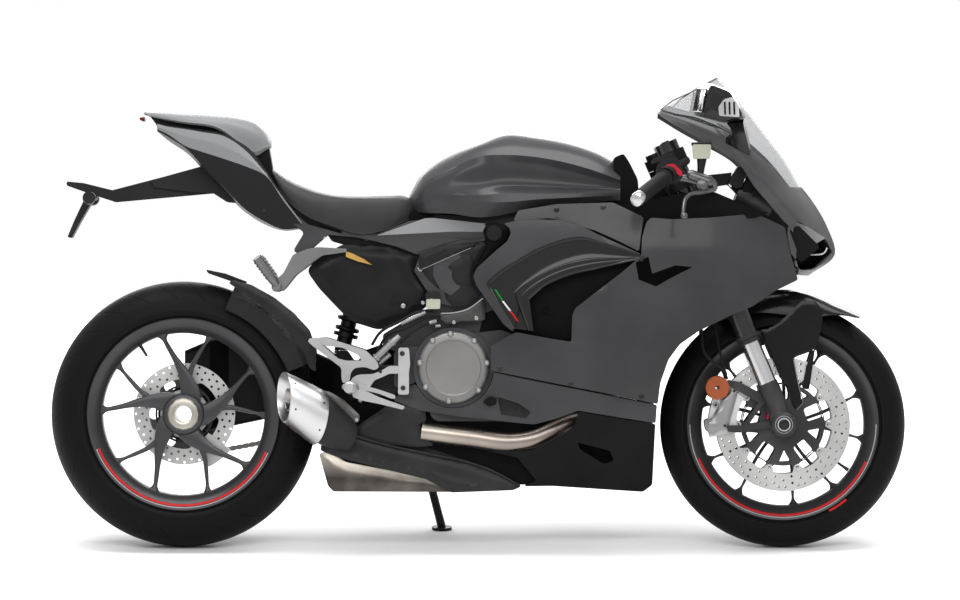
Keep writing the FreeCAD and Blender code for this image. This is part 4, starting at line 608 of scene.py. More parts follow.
vinyl = tinted("seat_vinyl_grain", (0.028, 0.028, 0.0285), 0.47, grain=0.8, grain_size=1300, spread=0.15)
seat_rows = [
    (214, [(0, 904), (40, 904), (66, 902), (74, 898), (76, 895), (74, 892), (64, 890)]),
    (243, [(0, 884), (52, 883), (82, 877), (94, 864), (97, 848), (94, 838), (80, 834)]),
    (299, [(0, 858), (62, 857), (98, 850), (112, 832), (115, 812), (112, 792), (98, 788)]),
    (355, [(0, 842), (70, 842), (108, 835), (121, 815), (124, 793), (121, 771), (108, 766)]),
    (427, [(0, 838), (72, 838), (108, 830), (119, 806), (122, 776), (119, 750), (106, 745)]),
    (490, [(0, 840), (64, 839), (94, 830), (104, 808), (107, 782), (104, 762), (92, 756)]),
    (530, [(0, 840), (52, 838), (74, 828), (82, 812), (84, 794), (82, 780), (72, 775)]),
    (556, [(0, 826), (34, 824), (50, 818), (56, 808), (58, 798), (56, 789), (48, 785)]),
    (574, [(0, 812), (22, 811), (34, 808), (40, 803), (42, 799), (40, 796), (32, 794)]),
]
seat_skin = both_halves(stations(seat_rows, 6, 6, (5,)))
seat = make("rider_saddle", [body_of(seat_skin)], vinyl, "seat_vinyl", ["rider_seat"], sharp=50)


def tube(points, radius, sides=12, steps=8, radii=None):
    """A round bar along a smooth line through the points: rings square to the line, turned as little as
    possible from one to the next, closed at both ends."""
    line = through(points, steps) if steps else np.asarray(points, float)
    way = np.gradient(line, axis=0)
    way /= np.linalg.norm(way, axis=1, keepdims=True)
    lift = np.zeros_like(way)
    guess = np.array([0.0, 0.0, 1.0]) if abs(way[0][2]) < 0.9 else np.array([1.0, 0.0, 0.0])
    for index, direction in enumerate(way):
        guess = guess - direction * guess.dot(direction)
        guess /= np.linalg.norm(guess)
        lift[index] = guess
    side = np.cross(way, lift)
    turn = np.arange(sides) * 2 * math.pi / sides
    size = np.full(len(line), float(radius)) if radii is None else through(np.array(radii)[:, None], steps)[:,
        0]
    rings = (line[:, None] + size[:, None, None] * (np.cos(turn)[None, :, None] * lift[:, None]
        + np.sin(turn)[None, :, None] * side[:, None]))
    return body_of(rings)


make("saddle_seams", twin([tube(seat_skin[4:-4, 30], 1.5, 6, 0)]), vinyl, "seat_vinyl")

# The tail: a moulded cowl with light grey flanks, a grey seat hump over it, black mouldings under the
# hump and the saddle, and the red tail lens.

light_grey = tinted("light_grey_satin_paint", (0.155, 0.158, 0.161), 0.36, grain=0.15, grain_size=900,
    spread=0.06)


def banded(name, first, second, low, high):
    """Two finishes on one piece, the second between two places across its own surface."""
    material, add = node_material(name)
    surface = add("SeparateXYZ", add("UVMap", uv_map="surface")).outputs
    inside = add("Math", surface["Y"], (low + high) / 2, (high - low) / 2, operation="COMPARE")
    cloud = add("TexNoise", Vector=add("TexCoord").outputs["Object"], Scale=12)
    shaders = []
    for colour, roughness in (first, second):
        shade = ramp(add, cloud, [channel * 0.9 for channel in colour], [channel * 1.1 for channel in colour])
        shaders.append(add("BsdfPrincipled", Base_Color=shade, Roughness=roughness, Specular_IOR_Level=0.03))
    add("OutputMaterial", add("MixShader", inside, *shaders))
    return material


tail_rows = [
    (-62, [(0, 1016), (60, 1016), (80, 1013), (83, 1006), (80, 1000), (74, 996), (0, 994)]),
    (-40, [(0, 1014), (66, 1013), (87, 1007), (90, 998), (88, 990), (82, 984), (0, 976)]),
    (12, [(0, 1006), (74, 1005), (99, 999), (103, 980), (102, 957), (92, 950), (0, 940)]),
    (45, [(0, 1002), (76, 1001), (104, 993), (109, 974), (108, 946), (94, 915), (0, 905)]),
    (98, [(0, 994), (80, 992), (109, 983), (115, 958), (114, 929), (98, 862), (0, 850)]),
    (150, [(0, 970), (82, 966), (111, 949), (117, 932), (116, 911), (104, 808), (0, 800)]),
    (196, [(0, 905), (84, 903), (113, 896), (119, 894), (118, 890), (106, 779), (0, 772)]),
    (240, [(0, 846), (86, 843), (113, 836), (118, 834), (117, 830), (107, 761), (0, 758)]),
    (284, [(0, 786), (90, 782), (108, 778), (111, 776), (110, 773), (104, 764), (0, 762)]),
]
tail_skin = both_halves(stations(tail_rows, 6, 6, (2, 3, 4, 5)))
columns = tail_skin.shape[1]
share = np.minimum(np.arange(columns), columns - 1 - np.arange(columns)) / 6
tail_uv = np.stack(np.broadcast_arrays(np.arange(len(tail_skin))[:, None] / len(tail_skin), share[None, :]),
    -1)
make("tail_body", [body_of(tail_skin)], banded("tail_black_and_grey", ((0.017, 0.017, 0.018), 0.36),
    ((0.19, 0.192, 0.195), 0.34), 2.0, 4.0), "satin_black", ["tail_cowl"], sharp=24,
    uv=tail_uv.reshape(-1, 2))

hump_rows = [
    (-94, [(0, 1043), (50, 1042), (64, 1040), (66, 1038), (60, 1036), (0, 1036)]),
    (-60, [(0, 1042), (58, 1040), (72, 1035), (75, 1029), (70, 1026), (0, 1026)]),
    (0, [(0, 1038), (62, 1035), (82, 1026), (87, 1018), (82, 1014), (0, 1012)]),
    (84, [(0, 1034), (66, 1029), (88, 1018), (96, 1004), (90, 999), (0, 998)]),
    (136, [(0, 1027), (64, 1022), (86, 1008), (95, 968), (90, 961), (0, 980)]),
    (172, [(0, 1016), (60, 1010), (78, 994), (87, 946), (82, 936), (0, 970)]),
    (198, [(0, 994), (50, 988), (66, 974), (74, 956), (68, 950), (0, 960)]),
    (209, [(0, 972), (42, 970), (54, 965), (60, 960), (56, 957), (0, 958)]),
]
make("seat_hump", [body_of(both_halves(stations(hump_rows, 6, 6, (3, 4))))], light_grey, "grey_pad",
    ["passenger_pad"], sharp=30)
under_hump = plate([(-84, 1037), (-60, 1006), (20, 996), (98, 976), (126, 958), (176, 926), (194, 898),
    (204, 870), (222, 870), (214, 904), (205, 957), (176, 960), (130, 990), (90, 1006), (0, 1018)], -62, 62,
    3)
seat_base = plate([(258, 822), (300, 790), (400, 766), (520, 762), (560, 740), (520, 716), (446, 724),
    (384, 724), (356, 732), (344, 750), (300, 760), (272, 784)], -96, -92, 4)
make("under_seat_moulding", under_hump + twin(seat_base), tinted("under_seat_black", (0.006, 0.006, 0.0062),
    0.4, specular=0.06), "moulded_black", bevel=1)
make("tail_lens", plate([(-66, 1012), (-60, 1004), (-40, 988), (-34, 990), (-44, 1006)], -56, 56, 1.5),
    tinted("deep_red_lens", (0.16, 0.006, 0.008), 0.2, coat=0.4, spread=0.1), "red_lens", bevel=0.6)

# The fairings: injection-moulded panels 3.6 mm thick, painted satin black, hung on the frame with
# countersunk screws. They all lie on one swelling skin, so their edges meet along fine shut lines.


def half_width(x, z):
    """Half the width of the bike's skin: full at x 1080, z 620, drawn in ahead, behind, above and below."""
    ahead = np.maximum(x - 1080, 0)
    behind = np.maximum(1080 - x, 0)
    below = np.maximum(620 - z, 0) / 480
    above = np.maximum(z - 620, 0)
    return 205 - 0.00055 * ahead ** 2 - 0.0002 * behind ** 2 - 95 * below ** 2.4 - 0.0004 * above ** 2


def on_skin(flat, relief=0.0):
    """Flat (x, z) points set on the bike's right skin and raised from it by the relief."""
    return at_across(flat, -(half_width(flat[..., 0], flat[..., 1]) + relief))


def skin_part(outline, relief=lambda x, z: 0.0, step=14, radius=6):
    """The right skin inside an outline, with rounded corners where it has a radius."""
    flat, faces = filled([rounded(outline, radius)], step)
    return on_skin(flat, relief(*flat.T)), [face[::-1] for face in faces]


def both_sides(name, parts, material, node, slot, replace=True, **options):
    """One piece for each side of the bike, the left the mirror of the right."""
    for side, shape in (("right", parts), ("left", mirrored(parts))):
        make(f"{name}_{side}", shape, material, slot, [f"{node}_{side}"] if replace else (), **options)


def beyond(x, z, start, end):
    """How far points lie to the left of the way from start to end, in millimetres."""
    way = np.subtract(end, start)
    way = way / np.hypot(*way)
    return way[0] * (z - start[1]) - way[1] * (x - start[0])


def smooth_step(value, width):
    """From 0 to 1 as the value goes from 0 to the width, level at both ends."""
    t = np.clip(value / width, 0, 1)
    return t * t * (3 - 2 * t)


def flank(x, z):
    """A soft shoulder under the top edge and a crease that fades forward from the duct's lower corner."""
    crease = smooth_step(beyond(x, z, (936, 482), (1060, 456)), 16) * (1 - smooth_step(x - 960, 120))
    shoulder = smooth_step(z - 700, 90) * 5
    return -3 * crease - shoulder


fairing_outline = [(1094, 697), (1046, 656), (937, 572), (930, 555), (928, 492), (870, 501), (796, 515),
    (736, 482), (736, 423.5), (1134, 343.5), (1140, 394), (1159, 449), (1186, 486), (1232, 518), (1306, 554),
    (1361, 577), (1416, 614), (1470, 640), (1452, 700), (1438.5, 766), (1369, 798), (1260, 788), (1165, 784),
    (1118, 788), (1106, 776), (1096, 740)]
side_skin = skin_part(fairing_outline, flank, 15)
strip_outline = [(801, 805), (893, 820), (1027, 824), (1100, 789), (1092.5, 739), (1089, 708), (985, 757),
    (875, 787), (790, 780)]
top_skin = skin_part(strip_outline, flank, 12)
both_sides("side_fairing_panel", [side_skin, top_skin], satin_paint, "side_fairing", "satin_black",
    thickness=3.6, bevel=0.8, sharp=30)

# The wing panels beside the tank frame: a satin cover that hooks round the frame bolt, and inside it a
# deep gloss black blade whose lower lip hangs over the air duct. The duct is a black moulded tray.

cover_outer = [(789, 516), (766, 534), (702, 626), (695, 649), (702, 667), (748, 709), (775, 731), (784, 750),
    (781, 763), (768, 774), (794, 780), (840, 784), (909, 781), (959, 764), (991, 748), (1091, 702)]
gloss_edge = [(1091, 700), (1022, 722), (978, 737), (955, 742), (910, 736), (867, 723), (794, 684),
    (748, 654), (724, 631), (790, 526)]
cover_skin = skin_part(cover_outer + gloss_edge, lambda x, z: 3.0, 12, 4)
gloss_black = tinted("gloss_black_blade", (0.006, 0.006, 0.0065), 0.12, spread=0.1, rough_spread=0.02,
    coat=0.35)

upper_rail = [(790, 524), (724, 631), (748, 654), (794, 684), (867, 723), (955, 742), (1020, 722),
    (1092, 699)]
lower_rail = [(836, 518), (824, 595), (838, 608), (858, 624), (909, 649), (978, 667), (1032, 678),
    (1092, 689)]
rails = through(np.stack([upper_rail, lower_rail], 1), 6, (1,))
share = np.array([0, 0.04, 0.16, 0.45, 0.74, 0.9, 0.97, 1.0])
lift = np.array([4.0, 3.4, -5.0, -7.0, 2.0, 6.0, 5.0, -3.0])
profile = through(np.stack([share, lift], 1), 5)
spots = rails[:, :1] + (rails[:, 1:] - rails[:, :1]) * profile[None, :, :1]
taper = np.clip((1092 - spots[..., 0]) / 130, 0.12, 1)
blade = on_skin(spots, profile[None, :, 1] * taper)
both_sides("wing_cover", [cover_skin], satin_paint, "wing_panel", "satin_black", replace=False, thickness=3.5,
    bevel=0.8)
both_sides("wing_blade", [grid(blade)], gloss_black, "wing_panel", "gloss_black", thickness=3.2, bevel=0.5,
    sharp=50)

tray_edge = rounded([(1108, 699), (952, 562), (936, 484), (790, 507), (808, 600), (903, 669), (1040, 705),
    (1098, 711)], 10)
tray_wall = np.stack([on_skin(tray_edge, -inset) for inset in (4.4, 20, 34)])
tray_floor = skin_part(tray_edge, lambda x, z: -34, 16, 0.1)
louvre = skin_part([(857, 572), (863, 571), (878, 562), (884, 557), (870, 561), (858, 565)], lambda x, z: -22,
    0, 1)
# This black is the real moulding of the ducts, liners and panels, and painted shade on the dark sheets inside
# the bike.
moulding_and_shade_black = tinted("black_moulding_and_painted_shade", (0.004, 0.004, 0.0043), 0.4, spread=0.1, specular=0.04)
both_sides("air_duct", [grid(tray_wall, around=True), tray_floor, louvre], moulding_and_shade_black, "wing_panel",
    "gloss_black", thickness=1.5)

# The lower fairings and the darker belly pan under them, with the shut line between and an opening in
# each.

lower_outline = ([(736, 420.4), (1132, 340.8), (1129, 298), (1040, 312), (945, 328), (890, 308), (840, 295),
    (803, 298), (656, 314), (564, 328), (503, 353), (530, 380), (549, 389)])
angles = np.radians(np.linspace(206, 354, 22))
rim = CLUTCH + 97 * np.stack([np.cos(angles), np.sin(angles)], 1)


def ridge(x, z):
    """A chamfer along the foot of the panel: it falls in below the line from the clutch to the front."""
    return -6 * smooth_step(-beyond(x, z, (560, 341), (840, 311)), 16) * (x < 900)


flat, faces = filled([np.concatenate([rounded(lower_outline, 4), rim]),
    rounded([(752, 361), (803, 345), (832, 324), (820, 309), (760, 318)], 5)], 14)
lower_skin = on_skin(flat, ridge(*flat.T)), [face[::-1] for face in faces]
dark_satin = tinted("belly_pan_paint", (0.005, 0.005, 0.0054), 0.36, grain=0.2, grain_size=900, specular=0.06)
belly_loop = rounded([(945, 325.5), (1040, 309.5), (1128.5, 295.5), (1122, 150), (1100, 133), (884, 147),
    (815, 146), (845, 160), (800, 215), (724, 232), (830, 232), (900, 262), (935, 292)], 5)
flat, faces = filled([belly_loop, rounded([(942, 252), (1020, 232), (1030, 208), (1006, 200), (948, 236)],
    5)], 14)
belly_skin = on_skin(flat), [face[::-1] for face in faces]
both_sides("lower_fairing_panel", [lower_skin], satin_paint, "lower_fairing", "satin_black", thickness=3.6,
    bevel=0.8)
both_sides("belly_pan", [belly_skin], dark_satin, "lower_fairing", "satin_black", replace=False,
    thickness=3.6, bevel=0.8)

# The nose cowl: one moulded shell round the front with an air intake on each side. The lamps sit deep
# in the intakes, under a grey blade, so from beside the bike the mouth reads as a dark recess.

nose_rows = [
    (650, (1498, 1480, 1466, 1452, 1440), (0, 48, 82, 112, 133)),
    (702, (1562, 1520, 1490, 1462, 1430), (0, 56, 92, 118, 136)),
    (766, (1544, 1504, 1470, 1430, 1378), (0, 60, 102, 132, 149)),
    (820, (1514, 1478, 1440, 1396, 1330), (0, 62, 107, 138, 156)),
    (862, (1482, 1450, 1412, 1366, 1300), (0, 62, 107, 138, 158)),
]
nose_keys = [[(x, -y, z) for x, y in zip(xs, ys)] for z, xs, ys in nose_rows]
cheek_rows = [
    ((1386, -112, 931), (1360, -141, 926), (1326, -154, 919)),
    ((1307, -146, 989), (1289, -166, 977), (1262, -173, 960)),
    ((1214, -164, 1024), (1207, -175, 1014), (1190, -177, 1000)),
    ((1140, -164, 1043), (1140, -170, 1038), (1139, -172, 1032)),
]
for upper, middle, lower in np.array(cheek_rows, float):
    nose_keys.append([2 * upper - middle, upper, middle, lower, 2 * lower - middle])
fine_nose = sheet(nose_keys, 60, 60)
crease = smooth_step(beyond(fine_nose[..., 0], fine_nose[..., 2], (1370, 886), (1450, 797)), 9)
fine_nose[..., 1] -= 4 * crease * np.clip(-fine_nose[..., 1] / 70, 0, 1)


def on_nose(outline):
    """The places (across, up) on the nose's own grid that show at given (x, z) points from the side."""
    flat = fine_nose[:250, :, [0, 2]].reshape(-1, 2)
    nearest = ((np.asarray(outline, float)[:, None] - flat[None]) ** 2).sum(-1).argmin(1)
    return np.stack([nearest % fine_nose.shape[1], nearest // fine_nose.shape[1]], 1).astype(float)


def nose_at(places):
    """Points of the nose's grid at fractional places, by mixing the four around each."""
    low = np.clip(np.floor(places).astype(int), 0, np.array(fine_nose.shape[1::-1]) - 2)
    part = places - low
    c, r = low.T
    u, v = part[:, :1], part[:, 1:]
    return ((fine_nose[r, c] * (1 - u) + fine_nose[r, c + 1] * u) * (1 - v)
        + (fine_nose[r + 1, c] * (1 - u) + fine_nose[r + 1, c + 1] * u) * v)


def straight(start, end, count):
    """Evenly spaced places from the start up to, but not with, the end."""
    return np.linspace(start, end, count + 1)[:-1]


front_seam = on_nose([(1399, 824), (1414, 806), (1445, 771), (1447, 735), (1453.5, 701), (1471, 652)])
half_outline = np.concatenate([straight((0, 0), (0, 240), 20), straight((0, 240), (60, 240), 6),
    straight((60, 240), (60, 480), 24), straight((60, 480), (180, 480), 8),
    straight((180, 480), (180, 240), 24), straight((180, 240), front_seam[0], 3), front_seam,
    straight(front_seam[-1], (0, 0), 8)[1:]])
mouth = rounded([(1449.5, 759), (1470, 781), (1541, 735), (1556, 706), (1511, 665), (1480, 662), (1463, 674)],
    6)
mouth_places = on_nose(mouth)
places, faces = filled([half_outline, mouth_places], 8)
half_nose = [(nose_at(places), faces)]
# The nose wears the same satin black as the fairings, made lighter here as painted light for the light
# falling on the front.
nose_paint_with_painted_light = tinted("satin_nose_paint", (0.052, 0.052, 0.054), 0.33, grain=0.2, grain_size=900, spread=0.12,
    coat=0.15)
make("nose_shell", twin(half_nose), nose_paint_with_painted_light, "satin_black", ["nose_cowl"], thickness=3.5, bevel=0.8,
    away=(1300, 0, 740))

mouth_ring = nose_at(mouth_places)
inward = np.array([-26.0, 26.0, 0.0])
mouth_wall = np.stack([mouth_ring + (-1, 1.5, 0), mouth_ring + inward * 0.5, mouth_ring + inward])
flat, faces = filled([mouth_places], 10)
mouth_floor = (nose_at(flat) + inward, faces)
cave = [grid(mouth_wall, around=True), mouth_floor]
make("intake_liners", twin(cave), moulding_and_shade_black, "gloss_black", thickness=1.2, away=(1600, 0, 700))

trim = plate([(1450, 765), (1470, 782), (1538, 740), (1512, 725), (1460, 752)], -108, -92, 3)
trim = [(v + np.stack([0 * v[:, 0], (v[:, 0] - 1446) * 0.62, 0 * v[:, 0]], 1), f) for v, f in trim]
make("intake_blades", twin(trim), tinted("grey_blade_plastic", (0.16, 0.16, 0.163), 0.4), "grey_pad",
    bevel=1.2)

drl = tinted("running_light_clear", (0.30, 0.31, 0.32), 0.2, coat=0.3)
strips = [tube([(1478, -97, 704), (1510, -84, 700), (1536, -66, 706), (1541, -60, 716)], 1.7, 8, 5)]
make("running_lights", twin(strips), drl, "lamp_lens")

# The windscreen: a clear acrylic bubble 3 mm thick with a dark edging round it.

screen_keys = []
for (xm, zm), (xe, ze), width in zip(((1283, 1125), (1338, 1064), (1388, 1000), (1438, 932), (1482, 855)),
        ((1141, 1044), (1222, 1025), (1308, 988), (1386, 930), (1450, 858)), (162, 164, 148, 112, 58)):
    share = np.linspace(-1, 1, 9)
    bend = np.abs(share) ** 2.2
    screen_keys.append(np.stack([xm + (xe - xm) * bend, -width * share, zm + (ze - zm) * bend], 1))
screen_grid = sheet(screen_keys, 6, 4)
acrylic, add = node_material("clear_acrylic")
haze = add("TexNoise", Vector=add("TexCoord").outputs["Object"], Scale=6)
tint = ramp(add, haze, (0.30, 0.31, 0.32), (0.36, 0.37, 0.38))
add("OutputMaterial", add("BsdfPrincipled", Base_Color=tint, Roughness=0.04, Alpha=0.26,
    Specular_IOR_Level=0.1))
make("screen_bubble", [grid(screen_grid)], acrylic, "screen", ["windscreen"], thickness=3, bevel=0.8,
    away=(1200, 0, 800))
rim = np.concatenate([screen_grid[::-1, -1], screen_grid[0, ::-1], screen_grid[:, 0]]) + (0.5, 0, 1.5)
foot = [grid(np.stack([screen_grid[:, 0] + (0, -1, 0), screen_grid[:, 1] + (1.2, -1, 1.2)]))]
make("screen_edge", [tube(rim[::6], 1.7, 6, 2)] + twin(foot),
    tinted("screen_edge_grey", (0.035, 0.036, 0.037), 0.2, coat=0.4), "gloss_black")

# Mirrors: moulded pods on broad black arms that fold against the cheeks, with silvered glass towards
# the rider and a lamp window with three bars on the outer face.

pod_rows = [
    (214, [(1240, 1040), (1230, 1058), (1238, 1084), (1262, 1090), (1284, 1076), (1296, 1040)]),
    (226, [(1217, 1032), (1228, 1088), (1236, 1103), (1304, 1087), (1341, 1024), (1292, 1013)]),
    (290, [(1226, 1028), (1238, 1087), (1246, 1108), (1308, 1089), (1345, 1023), (1292, 1011)]),
    (345, [(1238, 1029), (1249, 1084), (1256, 1102), (1302, 1084), (1334, 1027), (1292, 1016)]),
    (356, [(1256, 1042), (1256, 1070), (1262, 1082), (1286, 1072), (1304, 1040), (1288, 1030)]),
]
pod = np.array([[(x, -y, z) for x, z in rounded(corners, 9, 3)] for y, corners in pod_rows], float)
pod = through(pod, 3, corners=(1, 3))
glass_face = np.array([[(1219, -232, 1040), (1229, -232, 1094)], [(1237, -341, 1036), (1247, -341, 1090)]],
    float)
mirror_glass = grid(glass_face - (1.5, 0, 0))
glass_rim = tube(glass_face.reshape(-1, 3)[[0, 1, 3, 2, 0]] - (1.5, 0, 0), 1.5, 8, 0)
stalk_rows = [
    [(1291, 156, 975), (1322, 152, 966), (1357, 142, 950), (1356, 150, 938), (1322, 164, 951),
        (1296, 166, 966)],
    [(1304, 176, 985), (1326, 172, 984), (1350, 164, 982), (1348, 174, 968), (1326, 184, 970),
        (1306, 186, 976)],
    [(1308, 200, 998), (1324, 198, 1004), (1342, 192, 1008), (1340, 204, 996), (1324, 210, 994),
        (1310, 208, 990)],
    [(1296, 226, 1016), (1314, 226, 1022), (1338, 226, 1024), (1336, 236, 1014), (1314, 238, 1012),
        (1298, 236, 1010)],
]
stalk = through([[(x, -y, z) for x, y, z in row] for row in stalk_rows], 5)
both = [body_of(pod), body_of(stalk), glass_rim]
window = plate([(1287, 1066), (1308, 1072), (1322, 1052), (1324, 1024), (1276, 1027), (1274, 1048)], -356.6,
    -352)
bars = [part for x in (1290, 1301, 1312)
    for part in plate([(x - 2, 1030), (x + 2, 1030), (x + 1, 1060), (x - 3, 1060)], -358.4, -356, 1)]
both_ways = (("right", list), ("left", mirrored))
for side, flip in both_ways:
    make(f"mirror_pod_{side}", flip(both), gloss_black, "gloss_black", [f"mirror_{side}"], sharp=28)
    make(f"mirror_glass_{side}", flip([mirror_glass]), tinted("mirror_silvering", (0.8, 0.8, 0.8), 0.04,
        metallic=1.0, spread=0.03), "lamp_lens", thickness=1.5, away=(1300, 0, 1060))
    make(f"turn_lamp_{side}", flip(window), tinted("clear_lamp_window", (0.34, 0.34, 0.34), 0.16, coat=0.4),
        "lamp_lens", bevel=1)
    make(f"turn_lamp_bars_{side}", flip(bars), moulding_and_shade_black, "gloss_black")

# Black inner panels close the cockpit between the fairing's top edge and the nose.

inner = plate([(1050, 796), (1052, 818), (1080, 824), (1190, 846), (1268, 850), (1320, 828), (1362, 809),
    (1400, 800), (1368, 788), (1260, 778), (1165, 774), (1112, 778)], -150, -147, 6)
ducts = tube([(1326, -98, 842), (1346, -102, 834), (1374, -108, 818), (1404, -108, 800)], 22, 18, 5,
    radii=[14, 19, 22, 21])
inner += plate([(1352, 800), (1364, 858), (1400, 822), (1448, 768), (1440, 740), (1400, 760)], -122, -118, 3)
inner += plate([(1336, 826), (1340, 862), (1356, 896), (1384, 868), (1380, 822)], -112, -108, 4)
make("inner_panels", twin(inner), moulding_and_shade_black, "moulded_black", bevel=0.5)
make("intake_tubes", twin([ducts]), tinted("grey_duct_moulding", (0.022, 0.022, 0.0225), 0.45),
    "moulded_black")

# The engine's dressed side: cast covers bolted over the plain case, a round clutch cover of warm grey
# cast alloy with eight screw bosses round its rim, a bracket with a reservoir on it, and the frame's
# bolted arm.


def round_at(x, z):
    """The centre line, across the bike, of something round at (x, z)."""
    return np.array([x, 0.0, z])


def disc_at(x, z, profile, steps=32):
    """A round body about a line across the bike, from (radius, across) corners."""
    return turned(round_at(x, z), profile, steps)


def rim_distance(flat, ring):
    """How far flat points lie from a closed outline."""
    one, two = ring, np.roll(ring, -1, 0)
    way = two - one
    t = ((flat[:, None] - one[None]) * way[None]).sum(-1) / ((way ** 2).sum(-1)[None] + 1e-9)
    foot = one[None] + np.clip(t, 0, 1)[..., None] * way[None]
    return np.sqrt(((flat[:, None] - foot) ** 2).sum(-1)).min(1)


def cast_cover(outline, face, back, rise=4, shoulder=12, step=8, radius=6, relief=None):
    """A cast cover: its face swells outward by the rise within a shoulder of its edge; on the right side
    of the bike outward is towards lower y."""
    ring = rounded(outline, radius)
    flat, faces = filled([ring], step)
    swell = rise * smooth_step(rim_distance(flat, ring), shoulder)
    if relief:
        swell = swell + relief(flat[:, 0], flat[:, 1])
    walls = np.stack([at_across(ring, y) for y in (face, back)])
    return [(at_across(flat, face - swell), [f[::-1] for f in faces]), (at_across(flat, back), faces),
        grid(walls, around=True)]


def facets(points, triangles):
    """Flat facets between named points, each given as (x, across, z)."""
    return np.array(points, float), [list(corners) for corners in triangles]


def cap_bolt(x, z, seat, radius=6, height=5):
    """A domed cap screw with a hexagon socket, standing out from a seat on the right side."""
    socket = [(0.0, seat - height * 0.45), (radius * 0.42, seat - height * 0.45),
        (radius * 0.45, seat - height)]
    rim = [(radius * 0.8, seat - height), (radius, seat - height * 0.75), (radius, seat + 1), (0, seat + 1)]
    return disc_at(x, z, socket + rim, 18)


engine_black = tinted("black_cast_magnesium", (0.013, 0.013, 0.0135), 0.42, metallic=0.2, grain=0.5,
    grain_size=500)
warm_grey = tinted("warm_grey_cast_alloy", (0.165, 0.16, 0.156), 0.46, metallic=0.75, grain=0.45,
    grain_size=600, spread=0.06)
silver = tinted("silver_cast_alloy", (0.22, 0.22, 0.22), 0.38, metallic=0.8, grain=0.35, grain_size=600,
    spread=0.1)
zinc = tinted("zinc_plated_screws", (0.34, 0.34, 0.335), 0.34, metallic=1.0, spread=0.12)
dark_zinc = tinted("blackened_screws", (0.03, 0.03, 0.031), 0.36, metallic=0.8)

head_outline = [(564, 700), (584, 708), (623, 722), (657, 727), (722, 731), (724, 718), (694, 662),
    (691, 650), (696, 631), (716, 604), (681, 580), (647, 573), (628, 594), (625, 612), (603, 624),
    (583, 644), (571, 661), (564, 676)]


def head_ribs(x, z):
    """Two shallow steps along the lid's joint and a band of ribs above it."""
    up = beyond(x, z, (571, 664), (691, 717))
    return 1.8 * smooth_step(up, 3) - 2.2 * smooth_step(np.abs(up), 1) * (np.abs(up) < 3) \
        + 1.4 * np.clip(np.sin(up / 3.0), 0, 1) * (up > 9)


lobes = [(632, 668), (642, 680), (680, 702), (691, 696), (698, 678), (691, 651), (696, 631), (682, 623),
    (667, 628), (657, 626), (647, 636), (642, 651), (645, 661)]
make("head_covers", cast_cover(head_outline, -114.6, -113.8, 4, 9, 5, 5, head_ribs)
    + cast_cover(lobes, -119, -116, 4.5, 6, 5, 7), engine_black, "cast_alloy", sharp=40)
lip = [(571, -119.6, 664.6), (620, -120.6, 686), (660, -120.4, 703.6), (689, -119.4, 716)]
make("head_joint", [tube(lip, 1.1, 6, 4), tube([(560, -111, 674), (566, -115, 662), (572, -119, 661)], 2, 6,
    4)], silver, "cast_alloy")

bracket = [(615, 560), (628, 558), (682, 570), (718, 597), (723, 563), (722, 544), (701, 540), (667, 541),
    (632, 532), (616, 546)]
make("head_bracket", cast_cover(bracket, -118, -112, 3, 4, 6, 4), tinted("grey_bracket_casting",
    (0.055, 0.055, 0.054), 0.42, metallic=0.4), "cast_alloy")
make("bracket_rib", [tube([(617, -121.5, 559.5), (640, -121.5, 560), (682, -121.5, 570), (717, -121.5, 595)],
    2.1, 8, 6)], silver, "cast_alloy")
make("bracket_bolts", [cap_bolt(702, 548, -120, 5.5), cap_bolt(648, 538, -120, 5),
    cap_bolt(574, 585, -114, 5)], zinc, "steel")

tank_cream = tinted("reservoir_translucent_cream", (0.36, 0.36, 0.29), 0.4, spread=0.06)
make("brake_reservoir", plate([(582, 570), (615, 570), (616, 594), (582, 594)], -128, -104), tank_cream,
    "moulded_black", bevel=2)
lid = [(580, 594.5), (617, 594.5), (617, 604), (613, 612), (584, 612), (580, 604)]
make("reservoir_cap", plate(lid, -129, -103, 3), engine_black, "moulded_black", bevel=1.5)

cover_profile = [(0, -147.6), (60, -147.2), (64, -147.6), (66.5, -149.8), (77, -149.8), (82, -147),
    (85.6, -141), (85.6, -136.6), (0, -136.6)]
rim_spots = [round_at(*(CLUTCH + 80.5 * np.array([np.cos(a), np.sin(a)])))
    for a in np.radians((8, 52, 95, 128, 172, 215, 262, 318))]
screw_bosses = [turned(spot, [(0, -151.6), (5.5, -151.6), (7.2, -150), (7.2, -138), (0, -138)], 20)
    for spot in rim_spots]
make("clutch_lid", [disc_at(*CLUTCH, cover_profile, 128)] + screw_bosses, warm_grey, "cast_alloy",
    ["clutch_cover"])
screw_profile = [(0, -152.6), (1.8, -152.6), (2, -154.4), (3.8, -154.2), (4.2, -151), (0, -151)]
make("clutch_screws", [turned(spot, screw_profile, 16) for spot in rim_spots], zinc, "steel")
teeth = [placed(rounded([(-3, -3.4), (4, -2.2), (4, 2.2), (-3, 3.4)], 1.2, 3), 93, a) + CLUTCH
    for a in range(64, 236, 12)]
make("case_ribs", [part for tooth in teeth for part in cut_plate([tooth], -119, -112)]
    + [disc_at(*CLUTCH, [(87, -134), (92, -136), (94.5, -133), (94.5, -113), (87, -113)], 96)], engine_black,
    "cast_alloy")

arm = [(716, 772), (748, 778), (773, 770), (785, 753), (778, 732), (740, 700), (702, 664), (693, 658),
    (722, 714), (722, 740)]
make("frame_arm", cast_cover(arm, -110, -96, 3, 8, 7, 8), moulding_and_shade_black, "black_paint")
FRAME_BOLT = (746.4, 751.3)
make("frame_bolt_ring",
    [disc_at(*FRAME_BOLT, [(8, -114), (10, -119), (15.5, -119), (18.5, -116), (18.5, -108), (8, -108)], 48)],
    dark_zinc, "black_paint")
make("frame_bolt", [cap_bolt(*FRAME_BOLT, -113, 7.5, 5)], zinc, "steel")

# The subframe: pressed covers in grey, folded along sharp facets, over the tail's tubes.

